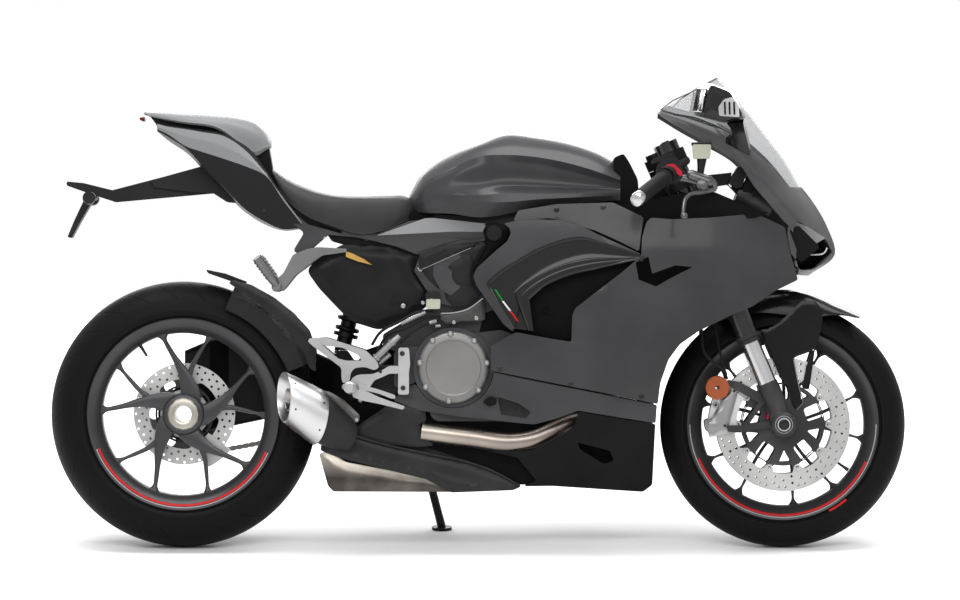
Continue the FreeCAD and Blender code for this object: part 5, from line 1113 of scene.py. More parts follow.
pale_facet = tinted("pale_grey_cover", (0.17, 0.172, 0.175), 0.4, spread=0.06)
mid_facet = tinted("mid_grey_cover", (0.042, 0.042, 0.043), 0.42, spread=0.08)
crest = [(461, -111, 745.5), (579, -109, 787), (597, -109, 788), (642, -122, 755), (726, -109, 774),
    (717, -118, 755)]
pale = facets(crest, [(0, 3, 1), (1, 3, 2), (2, 3, 5), (2, 5, 4)])
lower = facets([(463, -111, 744.5), (642, -121.6, 754), (717, -117.6, 754), (718, -111, 738),
    (667, -110, 736), (569, -110, 707), (554, -110, 702), (525, -110, 716), (446, -110, 735),
    (380, -110, 748), (380, -110, 757), (635, -112, 741), (525, -111, 723.5)],
    [(1, 2, 3, 4, 11), (4, 5, 6, 7, 12, 11), (0, 11, 1), (0, 12, 11), (0, 8, 7, 12), (0, 10, 9, 8)])
for shape, name, material in ((pale, "facet_pale", pale_facet), (lower, "facet_dark", mid_facet)):
    make(name, twin([shape]), material, "satin_black", thickness=2, bevel=0.7, sharp=8, away=(600, 0, 745))

# The black rear cover behind the engine, with a creased flank and a bolt in a round recess.


def cover_crease(x, z):
    """A flank that falls away behind a crease running down from the top, and a dish round the bolt."""
    crease = smooth_step(beyond(x, z, (500, 690), (555, 610)), 18)
    bulge = smooth_step(beyond(x, z, (330, 600), (470, 716)), 60)
    dish = smooth_step(22 - np.hypot(x - 521, z - 577), 8)
    return 3.5 * crease + 5 * bulge * (1 - crease) - 5 * dish


rear_outline = [(296, 662), (318, 688), (366, 716), (386, 726), (474, 724), (561, 712), (565, 664),
    (574, 641), (595, 628), (595, 600), (583, 575), (548, 553), (470, 519), (408, 538), (380, 562),
    (325, 620)]
make("airbox_cover", cast_cover(rear_outline, -90, -26, 10, 30, 9, 14, cover_crease),
    tinted("airbox_moulding", (0.0075, 0.0075, 0.008), 0.36, grain=0.3, grain_size=800), "moulded_black",
    ["rear_cover"], sharp=45)
make("airbox_screws", [cap_bolt(527, 577, -98, 6, 4)], zinc, "black_paint")

# Cables and hoses down the right side, black rubber, with a bright corrugated length.

hose_black = tinted("hose_black_rubber", (0.008, 0.008, 0.008), 0.4)
make("side_hoses",
    [tube([(452, -122, 484), (470, -124, 512), (520, -120, 541), (560, -116, 562), (600, -112, 568)], 3.6, 8,
    7), tube([(466, -128, 470), (486, -130, 504), (540, -126, 528), (580, -120, 548), (616, -117, 552)], 3.2,
    8, 7), tube([(520, -126, 488), (545, -124, 512), (575, -120, 530), (612, -118, 545)], 2.6, 8, 7)],
    hose_black, "hose_rubber")
bellows_line = np.linspace((522, -125, 535), (580, -121, 562), 33)
make("bright_sleeve", [tube(bellows_line, 4, 10, 0),
    *[tube(bellows_line[i:i + 2], 5.2, 10, 0) for i in range(1, 32, 3)]], silver, "steel")
make("hose_unions", [tube([(590, -117, 536), (607, -117, 541)], 6, 10, 2),
    tube([(604, -117, 528), (616, -117, 529)], 5, 10, 2)], silver, "steel")

# The rear shock's golden top, seen past the rear cover.

golden = tinted("golden_anodised_alloy", (0.42, 0.25, 0.07), 0.3, metallic=0.9, spread=0.1)
make("shock_top", plate([(390, 708), (403, 704), (432, 690), (453, 675), (418, 684), (390, 695)], -113, -105,
    1), golden, "machined_alloy", bevel=1)

# Dark sheets close what would be daylight between the seat, the tank, the frame and the belly: painted shade
# in place of the shaded parts inside the bike.

filler = plate([(470, 716), (548, 806), (700, 812), (780, 800), (780, 700), (700, 690), (560, 690)], -74, -70)
belly_filler = plate([(700, 480), (720, 560), (800, 590), (900, 560), (900, 480)], -96, -92)
low_filler = plate([(600, 330), (700, 330), (1000, 330), (1100, 330), (1118, 152), (1100, 135), (884, 149),
    (806, 150), (750, 182), (690, 206), (560, 248), (560, 300)], -88, -84)
rear_filler = plate([(398, 274), (386, 372), (430, 470), (470, 484), (560, 496), (600, 480), (600, 300),
    (560, 262)], -66, -62)
sheets = filler + belly_filler + low_filler + rear_filler
make("painted_shade_sheets", sheets + mirrored(filler + belly_filler + low_filler), moulding_and_shade_black, "moulded_black")

# The exhaust: a titanium header, lighter along its rear run and darker towards the front, a black-covered
# collector box with a bare titanium belly plate that carries a painted highlight towards its top, and a
# brushed silver silencer sleeve with a deep black outlet.


def tint_graded(name, cool, warm, axis, low, high):
    """Bare metal whose tint drifts from one colour to another between two places along an axis; cool and warm
    name only the two ends.
    """
    material, add = node_material(name)
    place = add("TexCoord").outputs["Object"]
    along = add("MapRange", add("SeparateXYZ", place).outputs[axis], low, high)
    cloud = add("TexNoise", Vector=place, Scale=14, Detail=5)
    tint = ramp(add, add("Math", cloud, 0.45, along, operation="MULTIPLY_ADD"), cool, warm, 0.2, 1.0)
    rough = add("MapRange", cloud, To_Min=0.26, To_Max=0.42)
    add("OutputMaterial", add("BsdfPrincipled", Base_Color=tint, Roughness=rough, Metallic=1.0))
    return material


box_black = tinted("exhaust_cover_black", (0.016, 0.016, 0.017), 0.38, grain=0.3, grain_size=800,
    specular=0.14)
# The belly plate turns lighter towards its top: a painted highlight where the light falls on its upper edge.
titanium = tint_graded("belly_plate_with_painted_highlight", (0.05, 0.045, 0.04), (0.38, 0.345, 0.30), "Z", 0.185, 0.265)
# The header is lighter along its rear run and darker towards the front bend.
header_tint = tint_graded("header_titanium", (0.33, 0.29, 0.25), (0.13, 0.105, 0.095), "X", -0.10, 0.35)
make("header_tube",
    [tube([(572, -106, 277), (686, -113, 263), (794, -114, 252), (842, -112, 260), (890, -104, 281),
    (931, -92, 299), (1002, -50, 312), (1006, -46, 372)], 23.2, 40, 7)], header_tint, "warm_steel",
    ["exhaust_pipes"])
make("header_weld", [tube([(887, -105, 279.6), (891, -103.6, 281.6)], 24.4, 40, 2)], header_tint,
    "warm_steel")

upper_cover = [(345, 347), (395, 276), (486, 247), (688, 202), (750, 177), (810, 146.5), (790, 137),
    (641, 131.5), (581, 165), (388, 211), (329, 232)]


def box_fold(x, z):
    """The cover stands out below a line along its foot."""
    return 3 * smooth_step(beyond(x, z, (560, 188), (395, 228)), 6)


make("box_cover", cast_cover(upper_cover, -113, -90, 6, 16, 9, 6, box_fold), box_black, "moulded_black",
    sharp=30)
make("box_plate", cast_cover([(326, 224), (340, 229), (354, 226), (391, 204), (588, 168), (622, 150),
    (641, 133), (360, 134), (347, 148)], -113.6, -91, 6, 22, 8, 5), titanium, "warm_steel", sharp=45)
shield = [(394, 274), (484, 336), (511, 352), (560, 340), (580, 330), (582, 304), (566, 292), (584, 262),
    (600, 244), (560, 240), (486, 247)]
make("box_shield", cast_cover(shield, -111, -100, 5, 12, 9, 5), box_black, "moulded_black", sharp=40)
step_lip = [(397, -121, 270), (486, -121, 246), (600, -121, 222), (688, -121, 203), (752, -118, 178),
    (806, -116, 148)]
make("cover_lip", [tube(step_lip, 2.2, 8, 5)], box_black, "moulded_black")

core = [(330, 225), (358, 140), (636, 136), (680, 135), (790, 150), (735, 190), (600, 232), (420, 268)]
backing = [(540, 244), (600, 262), (800, 262), (890, 200), (850, 152), (790, 150), (735, 190), (600, 232)]
make("box_core", plate(core, -92, 92, 12) + plate(backing, -84, 84, 8)
    + mirrored(cast_cover(upper_cover, -113, -90, 6, 16, 12, 6)), box_black, "moulded_black", ["exhaust_box"],
    bevel=4)

# The silencer: a rolled sleeve of brushed silver, cut off upright at the rear, with a deep rolled mouth,
# rivets, and a clamped stay in front of it.


def tilted_ring(centre, up, side, size, count=72):
    """Points of a ring spanned by two half axes, made larger or smaller by the size."""
    turn = np.arange(count)[:, None] * 2 * math.pi / count
    return np.array(centre) + size * (np.cos(turn) * np.array(up) + np.sin(turn) * np.array(side))


# At the sleeve's mouth and at its front edge: the middle, the half axis up and the half axis across.
SLEEVE_ENDS = (((243.5, -166, 360.5), (0, 0, 61.0), (18.2, -56, 0)),
    ((326, -146, 310.5), (12.2, 0, 65.0), (23, -52, -4)))


def sleeve_ring(share, size):
    """A ring of the sleeve, from its mouth at share 0 to its front edge at 1."""
    mouth, front = np.array(SLEEVE_ENDS)
    return tilted_ring(*(mouth * (1 - share) + front * share), size)


sleeve_silver = tinted("brushed_sleeve_silver", (0.50, 0.50, 0.50), 0.34, metallic=1.0, spread=0.04,
    grain=0.3, grain_size=900)
sleeve = np.stack([sleeve_ring(*key) for key in ((1.0, 0.80), (1.0, 0.97), (0.985, 1.0), (0.75, 1.01),
    (0.5, 1.015), (0.25, 1.01), (0.03, 1.0), (0.0, 0.985), (-0.01, 0.955), (0.02, 0.93), (0.3, 0.90),
    (0.6, 0.88))])
make("silencer_sleeve", [body_of(sleeve)], sleeve_silver, "machined_alloy", sharp=50)
deep = np.stack([sleeve_ring(0.62, 0.87), sleeve_ring(0.585, 0.87)])
inner_pipe = np.stack([sleeve_ring(0.5, 0.44), sleeve_ring(0.12, 0.44), sleeve_ring(0.10, 0.42),
    sleeve_ring(0.12, 0.40), sleeve_ring(0.5, 0.40)])
make("silencer_depth", [body_of(deep)], tinted("sooty_grey", (0.035, 0.034, 0.033), 0.5, metallic=0.4),
    "warm_steel")
make("silencer_pipe", [body_of(inner_pipe)],
    tinted("inner_pipe_steel", (0.28, 0.27, 0.26), 0.4, metallic=1.0), "warm_steel")


def sleeve_spot(share, degrees, size=1.0):
    """A place on the sleeve's skin and the way out of it."""
    ring, wide = sleeve_ring(share, size), sleeve_ring(share, size * 1.1)
    index = int(round(degrees / 5)) % 72
    out = wide[index] - ring[index]
    return ring[index], out / np.linalg.norm(out)


rivets = []
for share, degrees in ((0.14, 50), (0.14, 112), (0.86, 60), (0.86, 118), (0.14, 175), (0.86, 178),
        (0.14, 235), (0.86, 300), (0.14, 350)):
    foot, out = sleeve_spot(share, degrees, 1.012)
    rivets.append(tube([foot - out, foot + out * 0.9, foot + out * 1.3], 2.4, 10, 1, radii=[2.4, 2.2, 1.2]))
make("sleeve_rivets", rivets, dark_zinc, "steel")
neck = np.stack([sleeve_ring(0.96, 0.86), sleeve_ring(1.15, 0.84), sleeve_ring(1.5, 0.7),
    sleeve_ring(1.9, 0.5)])
make("silencer_neck", [body_of(through(neck, 5))], box_black, "moulded_black", sharp=60)
stay = [(332, 376), (352, 373), (387, 352), (424, 316), (421, 300), (410, 298), (349, 351), (338, 362)]
make("silencer_stay", cast_cover(stay, -140, -134, 2.5, 6, 6, 6),
    tinted("stay_grey_steel", (0.07, 0.068, 0.066), 0.36, metallic=0.9), "steel")
make("stay_clamp", [tube([(336, -140, 371), (347, -143, 352), (356, -142, 345)], 4.5, 12, 4)], zinc, "steel")
make("stay_bolt", [cap_bolt(416, 306, -142, 4.5, 4), cap_bolt(424, 352, -118, 5, 4)], zinc, "steel")

# The footrest sets: brushed cast plates with a heel guard, an arm, a short lever and a knurled peg, and
# above them the passenger's folding pegs on their hangers.

rest_silver = tinted("brushed_footrest_alloy", (0.34, 0.34, 0.338), 0.38, metallic=0.9, spread=0.08,
    grain=0.3, grain_size=700)
upright = [(515, 366), (541, 366), (541, 420), (544, 440), (541, 478), (516, 478)]
slot = rounded([(332, 486), (344, 482), (382, 478), (420, 460), (428, 447), (392, 447), (372, 452)], 4)
guard = [(300, 493), (304, 500), (342, 503), (438, 472), (466, 444), (470, 430), (458, 424), (436, 432),
    (412, 430), (402, 418), (400, 398), (384, 392), (380, 404), (380, 430), (314, 480)]
arm_plate = [(400, 396), (408, 408), (422, 414), (454, 415), (477, 424), (494, 435), (518, 434), (518, 416),
    (494, 416), (478, 408), (458, 400), (446, 380), (426, 368), (398, 366), (386, 378)]
lever_bar = [(404, 374), (408, 360), (430, 352), (470, 344), (527, 330), (532, 338), (506, 347), (470, 360),
    (428, 380)]
upper_bar = [(420, 392), (470, 378), (508, 365), (509, 357), (500, 356), (470, 368), (420, 380)]
plates = (plate(guard, -163, -156, 7, [slot]) + plate(upright, -162, -153, 6)
    + plate(arm_plate, -160, -152, 6) + plate(lever_bar, -178, -170, 4) + plate(upper_bar, -168, -162, 3))
bosses = [disc_at(406, 382, [(0, -181), (9, -181), (12, -178), (14, -172), (16, -168), (16, -152), (0, -152)],
    40), disc_at(388, 384, [(0, -166), (6, -166), (8, -163), (8, -154), (0, -154)], 24),
    disc_at(527, 392, [(0, -152), (9, -152), (9, -110), (0, -110)], 24),
    disc_at(527, 462, [(0, -152), (9, -152), (9, -110), (0, -110)], 24)]
peg_core = disc_at(400, 384, [(0, -252), (10, -252), (12.5, -249), (12.5, -180), (0, -180)], 28)
knurls = [disc_at(400, 384, [(11.5, y), (14, y - 1), (14, y - 4), (11.5, y - 5)], 24)
    for y in range(-186, -246, -8)]
both_sides("rest_plates", plates + bosses + [peg_core] + knurls, rest_silver, "footrests", "machined_alloy",
    bevel=1.4)
sockets = [cap_bolt(525, 464, -162, 6, 3), cap_bolt(527, 382, -162, 6, 3), cap_bolt(406, 382, -181, 6, 3),
    cap_bolt(473, 421, -160, 4, 3), cap_bolt(366, 468, -163, 3.5, 2)]
make("rest_bolts", twin(sockets), dark_zinc, "steel")
pump = [tube([(452, -150, 443), (468, -150, 458), (500, -150, 489), (518, -150, 506)], 8, 20, 4,
    radii=[5, 8.5, 8.5, 6]), tube([(462, -150, 452), (466, -150, 456)], 11, 20, 2),
    tube([(498, -150, 487), (503, -150, 492)], 10.5, 20, 2),
    tube([(470, -140, 440), (496, -140, 462)], 6, 12, 3)]
make("foot_pump", pump, silver, "cast_alloy")

hanger = [(224, 616), (214, 626), (222, 640), (240, 654), (264, 700), (300, 714), (322, 718), (392, 714),
    (392, 706), (334, 698), (300, 674), (270, 652), (246, 622), (236, 612)]
hangers = plate(hanger, -126, -117, 6)
pegs = [tube([(226, -132, 626), (216, -140, 640), (196, -150, 668), (178, -158, 693)], 12, 20, 5,
    radii=[9, 11, 11.5, 11.5]), disc_at(225, 623, [(0, -140), (9, -140), (12, -137), (12, -117), (0, -117)],
    28)]
hanger_grey = tinted("hanger_grey_alloy", (0.13, 0.13, 0.129), 0.4, metallic=0.85, spread=0.08, grain=0.3)
rings = [tube([(x, y, z), (x - 2.2, y - 1, z + 3.1)], 13, 16, 2) for x, y, z in zip(np.linspace(210, 184, 6),
    np.linspace(-143, -154, 6), np.linspace(648, 684, 6))]
make("passenger_pegs", twin(hangers + pegs + rings), hanger_grey, "machined_alloy", bevel=1)

# The hugger's side blades over the rear wheel, with a ridge along each.


def hugger_ridge(x, z):
    """The blade stands out above a line along its middle."""
    return 4 * smooth_step(beyond(x, z, (120, 612), (300, 480)), 14)


hugger_low = [(110, 632), (122, 624), (182, 581), (222, 548), (262, 506), (292, 462), (303, 428), (318, 420),
    (318, 470), (300, 520), (262, 560), (214, 598), (160, 628), (118, 640)]
hugger = cast_cover(hugger_low, -97, -88, 3, 10, 9, 5, hugger_ridge)
make("hugger_side", mirrored(hugger) + hugger, tinted("hugger_moulding", (0.014, 0.014, 0.0145), 0.36,
    specular=0.15), "moulded_black", sharp=40)

# The number plate holder's indicators and the root of its arm.

holder_black = tinted("plate_holder_moulding", (0.012, 0.012, 0.0125), 0.4, specular=0.12)
amber = tinted("clear_amber_lens", (0.36, 0.33, 0.29), 0.16, coat=0.5, spread=0.1)
pods = [disc_at(-223, 835, [(0, -132), (8, -131), (14, -126), (16, -116), (12, -104), (0, -102)], 28)]
arm_root = plate([(-80, 878), (46, 913), (74, 876), (128, 824), (104, 826), (70, 848), (20, 850), (-70, 862)],
    -30, 30, 4)
make("indicator_pods", twin(pods) + arm_root, holder_black, "moulded_black")
lenses = [disc_at(-223, 835, [(0, -135), (7, -134), (11.5, -131), (11.5, -128), (0, -128)], 24)]
make("indicator_lenses", twin(lenses), amber, "red_lens")

# The front end: gloss black fork tubes over silver sliders, dark cast feet, silver radial calipers on
# black brackets, a round amber reflector each side, brake hoses, and the mudguard between them.

fork_black = tinted("fork_tube_black", (0.008, 0.008, 0.0085), 0.2, coat=0.6, spread=0.1)
slider_silver = tinted("slider_hard_chrome", (0.46, 0.46, 0.46), 0.24, metallic=1.0, spread=0.06)
foot_grey = tinted("fork_foot_grey", (0.035, 0.035, 0.036), 0.4, metallic=0.4, grain=0.4, grain_size=600)
FORK_RAKE = math.radians(23)


def on_fork(z, across=-105.0):
    """A place on the fork leg's centre line at a height."""
    return np.array([1349.6 + (505 - z) * math.tan(FORK_RAKE), across, z])


outer_tubes = [tube([on_fork(z) for z in (967, 740, 508)], 27.4, 32, 2)]
seal_rings = [tube([on_fork(508), on_fork(500)], 29.5, 32, 2),
    tube([on_fork(499), on_fork(489)], 25.5, 32, 2)]
sliders = [tube([on_fork(492), on_fork(440), on_fork(390)], 22.3, 32, 2)]
foot_line = [on_fork(394), on_fork(372), on_fork(346), (1424, -108, 318), (1434, -112, 298)]
feet = [tube(foot_line, 25, 28, 6, radii=[23.5, 25, 24, 24, 26]),
    turned(FRONT_AXLE, [(17, -137), (26, -135), (31, -128), (32, -96), (17, -92)], 48)]
pinch = plate([(1404, 310), (1410, 330), (1440, 330), (1462, 312), (1464, 282), (1446, 262), (1420, 264)],
    -126, -98, 9)
for name, shape, material, slot in (("fork_tubes", outer_tubes, fork_black, "black_paint"),
        ("fork_seals", seal_rings, foot_grey, "black_paint"),
        ("fork_sliders", sliders, slider_silver, "steel"),
        ("fork_feet", feet + pinch, foot_grey, "black_paint")):
    make(name, twin(shape), material, slot, ["fork_legs"] if name == "fork_tubes" else (), body="steering",
        sharp=50)
axle_ring = [turned(FRONT_AXLE, [(11.5, -137.6), (13, -140), (15.6, -140), (17, -138), (17, -130),
    (11.5, -130)], 48)]
make("axle_rings", twin(axle_ring), slider_silver, "machined_alloy", body="steering")

caliper_outline = [(1303, 371), (1314, 386), (1326, 386), (1326, 364), (1319, 340), (1304, 285), (1282, 279),
    (1267, 268), (1252, 278), (1247, 303), (1264, 310), (1282, 340), (1288, 358)]


def caliper_relief(x, z):
    """Three shallow pads along the caliper's spine and a groove beside them."""
    along = beyond(x, z, (1250, 290), (1275, 282))
    return 1.8 * np.clip(np.sin(along / 5.2), -0.3, 1) * smooth_step(beyond(x, z, (1268, 270), (1318, 386)),
        6)


calipers = cast_cover(caliper_outline, -84, -74, 5, 9, 4.5, 7, caliper_relief)
ear_spots = ((1274, 341), (1258, 296), (1318, 374), (1296, 291))
ears = [disc_at(x, z, [(0, -88), (5, -88), (7.5, -86), (7.5, -76), (0, -76)], 20) for x, z in ear_spots]
make("caliper_bodies", twin(calipers) + twin(ears), tinted("silver_caliper_alloy", (0.22, 0.22, 0.22), 0.38,
    metallic=0.8, spread=0.08, grain=0.4, grain_size=600), "cast_alloy", body="steering", sharp=50)
bolts = [cap_bolt(x, z, -88, 3.6, 2) for x, z in ear_spots]
make("caliper_bolts", twin(bolts), dark_zinc, "steel", body="steering")
bracket_arm = plate([(1306, 400), (1330, 396), (1388, 366), (1392, 348), (1376, 346), (1328, 374),
    (1304, 388)], -92, -84, 4)
lower_arm = plate([(1302, 292), (1340, 292), (1390, 300), (1418, 312), (1424, 294), (1404, 287), (1330, 274),
    (1302, 277)], -92, -84, 4)
stay_arm = plate([(1380, 352), (1392, 348), (1352, 292), (1340, 294)], -91, -85, 3)
brackets = bracket_arm + lower_arm + stay_arm
make("caliper_brackets", twin(brackets), foot_grey, "black_paint", body="steering", bevel=1)
red_cap = [tube([(1404, -98, 327), (1400, -100, 316), (1398, -100, 307)], 8, 18, 3, radii=[5, 7.5, 5.5])]
make("fork_red_caps", twin(red_cap), tinted("red_anodised_alloy", (0.20, 0.008, 0.02), 0.28, metallic=0.8),
    "machined_alloy", body="steering")
reflector = [disc_at(1278, 382, [(4.5, -98), (5, -100), (26, -100), (28.5, -98), (28.5, -93), (4.5, -93)],
    48)]
make("side_reflectors", twin(reflector), tinted("amber_reflector", (0.27, 0.062, 0.018), 0.22, coat=0.4,
    spread=0.18), "red_lens", body="steering")
reflector_stay = plate([(1274, 386), (1300, 398), (1318, 398), (1318, 388), (1284, 376)], -94, -90, 3)
make("reflector_stays", twin(reflector_stay), dark_zinc, "steel", body="steering")

lines = [tube([(1234, -86, 560), (1240, -86, 522), (1249, -88, 462), (1272, -88, 440), (1292, -88, 424),
    (1302, -88, 402)], 3.2, 8, 7), tube([(1270, -80, 560), (1273, -80, 533), (1284, -82, 470),
    (1292, -84, 436), (1300, -86, 412)], 2.8, 8, 6)]
make("front_hoses", twin(lines), hose_black, "hose_rubber", ["brake_hoses"], body="steering")

guard_rows = []
for degrees, crown, drop in ((122, 312, 22), (112, 317, 36), (100, 321, 50), (90, 322.5, 60), (80, 321, 60),
        (73, 316, 48), (67, 313, 30), (61, 315, 16), (54.5, 320, 6)):
    across = np.array([0, 22, 42, 56, 66, 71, 73])
    fall = np.array([0, 0.02, 0.1, 0.28, 0.55, 0.8, 1.0]) * drop
    half = ring_point(FRONT_AXLE, crown - fall, -across, degrees)
    guard_rows.append(np.concatenate([half[::-1], half[1:] * (1, -1, 1)]))
guard = sheet(guard_rows, 7, 3)
guard_black = tinted("mudguard_gloss_black", (0.005, 0.005, 0.0055), 0.22, coat=0.05, spread=0.1)
make("mudguard_arch", [grid(guard)], guard_black, "gloss_black", ["front_mudguard"], body="steering",
    thickness=2.6, bevel=0.8, away=FRONT_AXLE)
blade = [(1378, 519), (1402, 524), (1442, 552), (1480, 590), (1512, 590), (1529, 568), (1530, 539),
    (1518, 487), (1506, 470), (1470, 457), (1460, 452), (1482, 343), (1466, 328), (1457, 343), (1445, 389),
    (1432, 404), (1423, 419), (1387, 502)]
small_blade = [(1503, 469), (1512, 474), (1498, 378), (1488, 378), (1483, 392), (1490, 428)]


def blade_fold(x, z):
    """The blade bends outward along a line down its middle."""
    return 4 * smooth_step(beyond(x, z, (1462, 340), (1452, 560)), 30)


side_blades = cast_cover(blade, -77, -74, 2.5, 6, 8, 7, blade_fold) + cast_cover(small_blade, -77, -74, 1.5,
    4, 6, 3)
make("mudguard_blades", twin(side_blades), guard_black, "gloss_black", body="steering", sharp=45)
# A thin grey line along each blade's front edge: a painted highlight.
edge_line = [(1460, -80, 450), (1466, -80, 418), (1474, -79, 380), (1482, -78, 345), (1468, -78, 329)]
make("blade_edges", twin([tube(edge_line, 1.4, 8, 5)]), tinted("blade_edge_painted_highlight", (0.12, 0.12, 0.12), 0.3),
    "gloss_black", body="steering")

# The cockpit: clip-on bars with ribbed grips and metal end weights, switch boxes, hand levers, the brake
# master cylinder with its cream reservoir, and the dashboard tilted towards the rider.

grip_rubber = tinted("grip_rubber_black", (0.010, 0.010, 0.0102), 0.55, grain=0.6, grain_size=900)
switch_black = tinted("switchgear_black", (0.009, 0.009, 0.0092), 0.45)
BAR_IN, BAR_OUT = np.array([1157.0, -200.0, 889.0]), np.array([1082.0, -345.0, 829.0])


def on_bar(across):
    """A place on the right bar's centre line, by its distance out from the bike's middle."""
    return BAR_IN + (BAR_OUT - BAR_IN) * (across - 200) / 145


def lathe_on_bar(profile, steps=32):
    """Rings of (across, radius) square to the right bar, closed at both ends."""
    way = (BAR_OUT - BAR_IN) / np.linalg.norm(BAR_OUT - BAR_IN)
    up = np.array([0, 0, 1.0]) - way * way[2]
    up /= np.linalg.norm(up)
    side = np.cross(way, up)
    turn = np.arange(steps)[:, None] * 2 * math.pi / steps
    return body_of(np.stack([on_bar(across) + radius * (np.cos(turn) * up + np.sin(turn) * side)
        for across, radius in profile]))


ribs = [(214, 20), (217, 20.5), (219, 16.6)]
for across in range(222, 322, 4):
    ribs += [(across, 16.6), (across + 0.8, 17.6), (across + 2.6, 17.6), (across + 3.4, 16.6)]
ribs += [(326, 17), (328, 15)]
clamp = [tube([on_fork(886), on_fork(872), on_fork(858)], 34, 32, 2)]
bar = [lathe_on_bar([(112, 11), (345, 11)], 20)]
switches = [lathe_on_bar([(168, 22), (170, 24), (202, 24), (205, 21)])] + plate([(1128, 886), (1132, 910),
    (1145, 925), (1178, 933), (1190, 914), (1193, 882), (1176, 868), (1156, 868)], -204, -172, 7)
buttons = plate([(1117, 915), (1123, 929), (1165, 943), (1171, 930)], -198, -176, 3) \
    + plate([(1138, 878), (1145, 889), (1167, 895), (1173, 881)], -210, -200, 3)
lever_grey = tinted("lever_grey_alloy", (0.10, 0.10, 0.10), 0.32, metallic=0.75, spread=0.1)
weight = [lathe_on_bar([(328, 12), (329, 16), (331, 17.2), (345, 17.2), (350, 15), (352, 9), (353, 3)])]
perch = [tube([(1178, -176, 884), (1206, -176, 880), (1236, -178, 872)], 10, 16, 4)]
cylinder = [tube([(1204, -186, 893), (1212, -186, 890), (1254, -186, 874), (1264, -186, 869)], 13, 24, 3,
    radii=[8, 12.5, 13.5, 9]), disc_at(1239, 866, [(0, -208), (7, -208), (13, -205), (14, -198), (14, -180),
    (0, -180)], 28), tube([(1252, -190, 880), (1268, -186, 868), (1270, -182, 856)], 7, 14, 4,
    radii=[8, 8, 6])]
lever = [tube([(1270, -182, 857), (1252, -192, 851), (1235, -212, 847), (1211, -240, 843), (1199, -262, 832),
    (1193, -290, 808), (1192, -306, 796)], 5, 14, 6, radii=[7, 6, 5.5, 5, 5, 4.6, 4.4])]
ball = [turned(round_at(1194, 791), [(0, -317), (5, -316), (8.2, -311.5), (9, -306), (8.2, -300.5), (5, -296),
    (0, -295)], 28)]
for side, flip in both_ways:
    make(f"bar_and_switches_{side}", flip(clamp + bar + switches + buttons), switch_black, "black_paint",
        [f"handlebar_{side}"], body="steering", bevel=1)
    make(f"grip_{side}", flip([lathe_on_bar(ribs)]), grip_rubber, "hose_rubber", body="steering", sharp=50)
    make(f"bar_weight_{side}", flip(weight), slider_silver, "machined_alloy", body="steering")
    make(f"lever_body_{side}", flip(perch + cylinder), lever_grey, "cast_alloy", body="steering", sharp=50)
    make(f"hand_lever_{side}", flip(lever + ball), lever_grey, "cast_alloy", body="steering", sharp=60)
make("stop_switch", plate([(1153, 914), (1172, 916), (1193, 896), (1189, 885), (1177, 893), (1158, 901)],
    -210, -202, 3), tinted("red_switch_plastic", (0.33, 0.012, 0.025), 0.4), "red_lens", body="steering",
    bevel=1)
make("hand_reservoir", plate([(1219, 928), (1258, 928), (1261, 962), (1216, 962)], -196, -152, 5), tank_cream,
    "moulded_black", body="steering", bevel=4)
make("reservoir_stem", [tube([(1239, -175, 930), (1237, -178, 908), (1234, -180, 880)], 5, 14, 4,
    radii=[12, 9, 7]), tube([(1214, -175, 963), (1262, -175, 965)], 4, 12, 2)], switch_black, "black_paint",
    body="steering")
cable = [tube([(1150, -180, 886), (1142, -156, 872), (1148, -128, 852), (1166, -96, 830)], 4, 8, 7)]
make("bar_cables", twin(cable), hose_black, "hose_rubber", body="steering")

dash_side = [(1306, 875), (1330, 912), (1349, 901), (1338, 862), (1322, 858)]
make("dash_case", plate(dash_side, -80, 80, 4), switch_black, "black_paint", ["dashboard"], bevel=1.5)
glass = np.array([[(1304.4, y, 876.5), (1329, y, 914)] for y in (-74, 74)], float)
make("dash_glass", [grid(glass)], tinted("display_glass", (0.02, 0.024, 0.028), 0.08, coat=0.8), "lamp_lens",
    thickness=1, away=(1340, 0, 890))

head_cover = [(1030, 932), (1054, 942), (1068, 920), (1088, 880), (1090, 848), (1052, 800), (1030, 806)]
make("tank_front_cover", plate(head_cover, -84, 84, 8), moulding_and_shade_black, "moulded_black", bevel=3)

# The fork caps, seen from the saddle.

caps = [tube([on_fork(958), on_fork(966)], 17, 6, 1), tube([on_fork(964), on_fork(970)], 9, 24, 1)]
make("fork_caps", twin(caps), dark_zinc, "machined_alloy", body="steering")

# Small trim: the fairings' countersunk screws in dished washers, the box's bolt and clip, the tricolour
# stripe and black flash, tyre valves, the red dash on the front tyre and the rear ring nut.


def skin_screw(x, z, radius=5.5):
    """A dished washer with a screw head, lying on the right skin."""
    seat = -(float(half_width(x, z)) + float(flank(x, z)))
    return disc_at(x, z, [(0, seat - 0.6), (radius * 0.45, seat - 0.6), (radius * 0.5, seat - 1.6),
        (radius, seat - 1.4), (radius * 1.25, seat - 0.2), (radius * 1.25, seat + 1.5), (0, seat + 1.5)], 22)


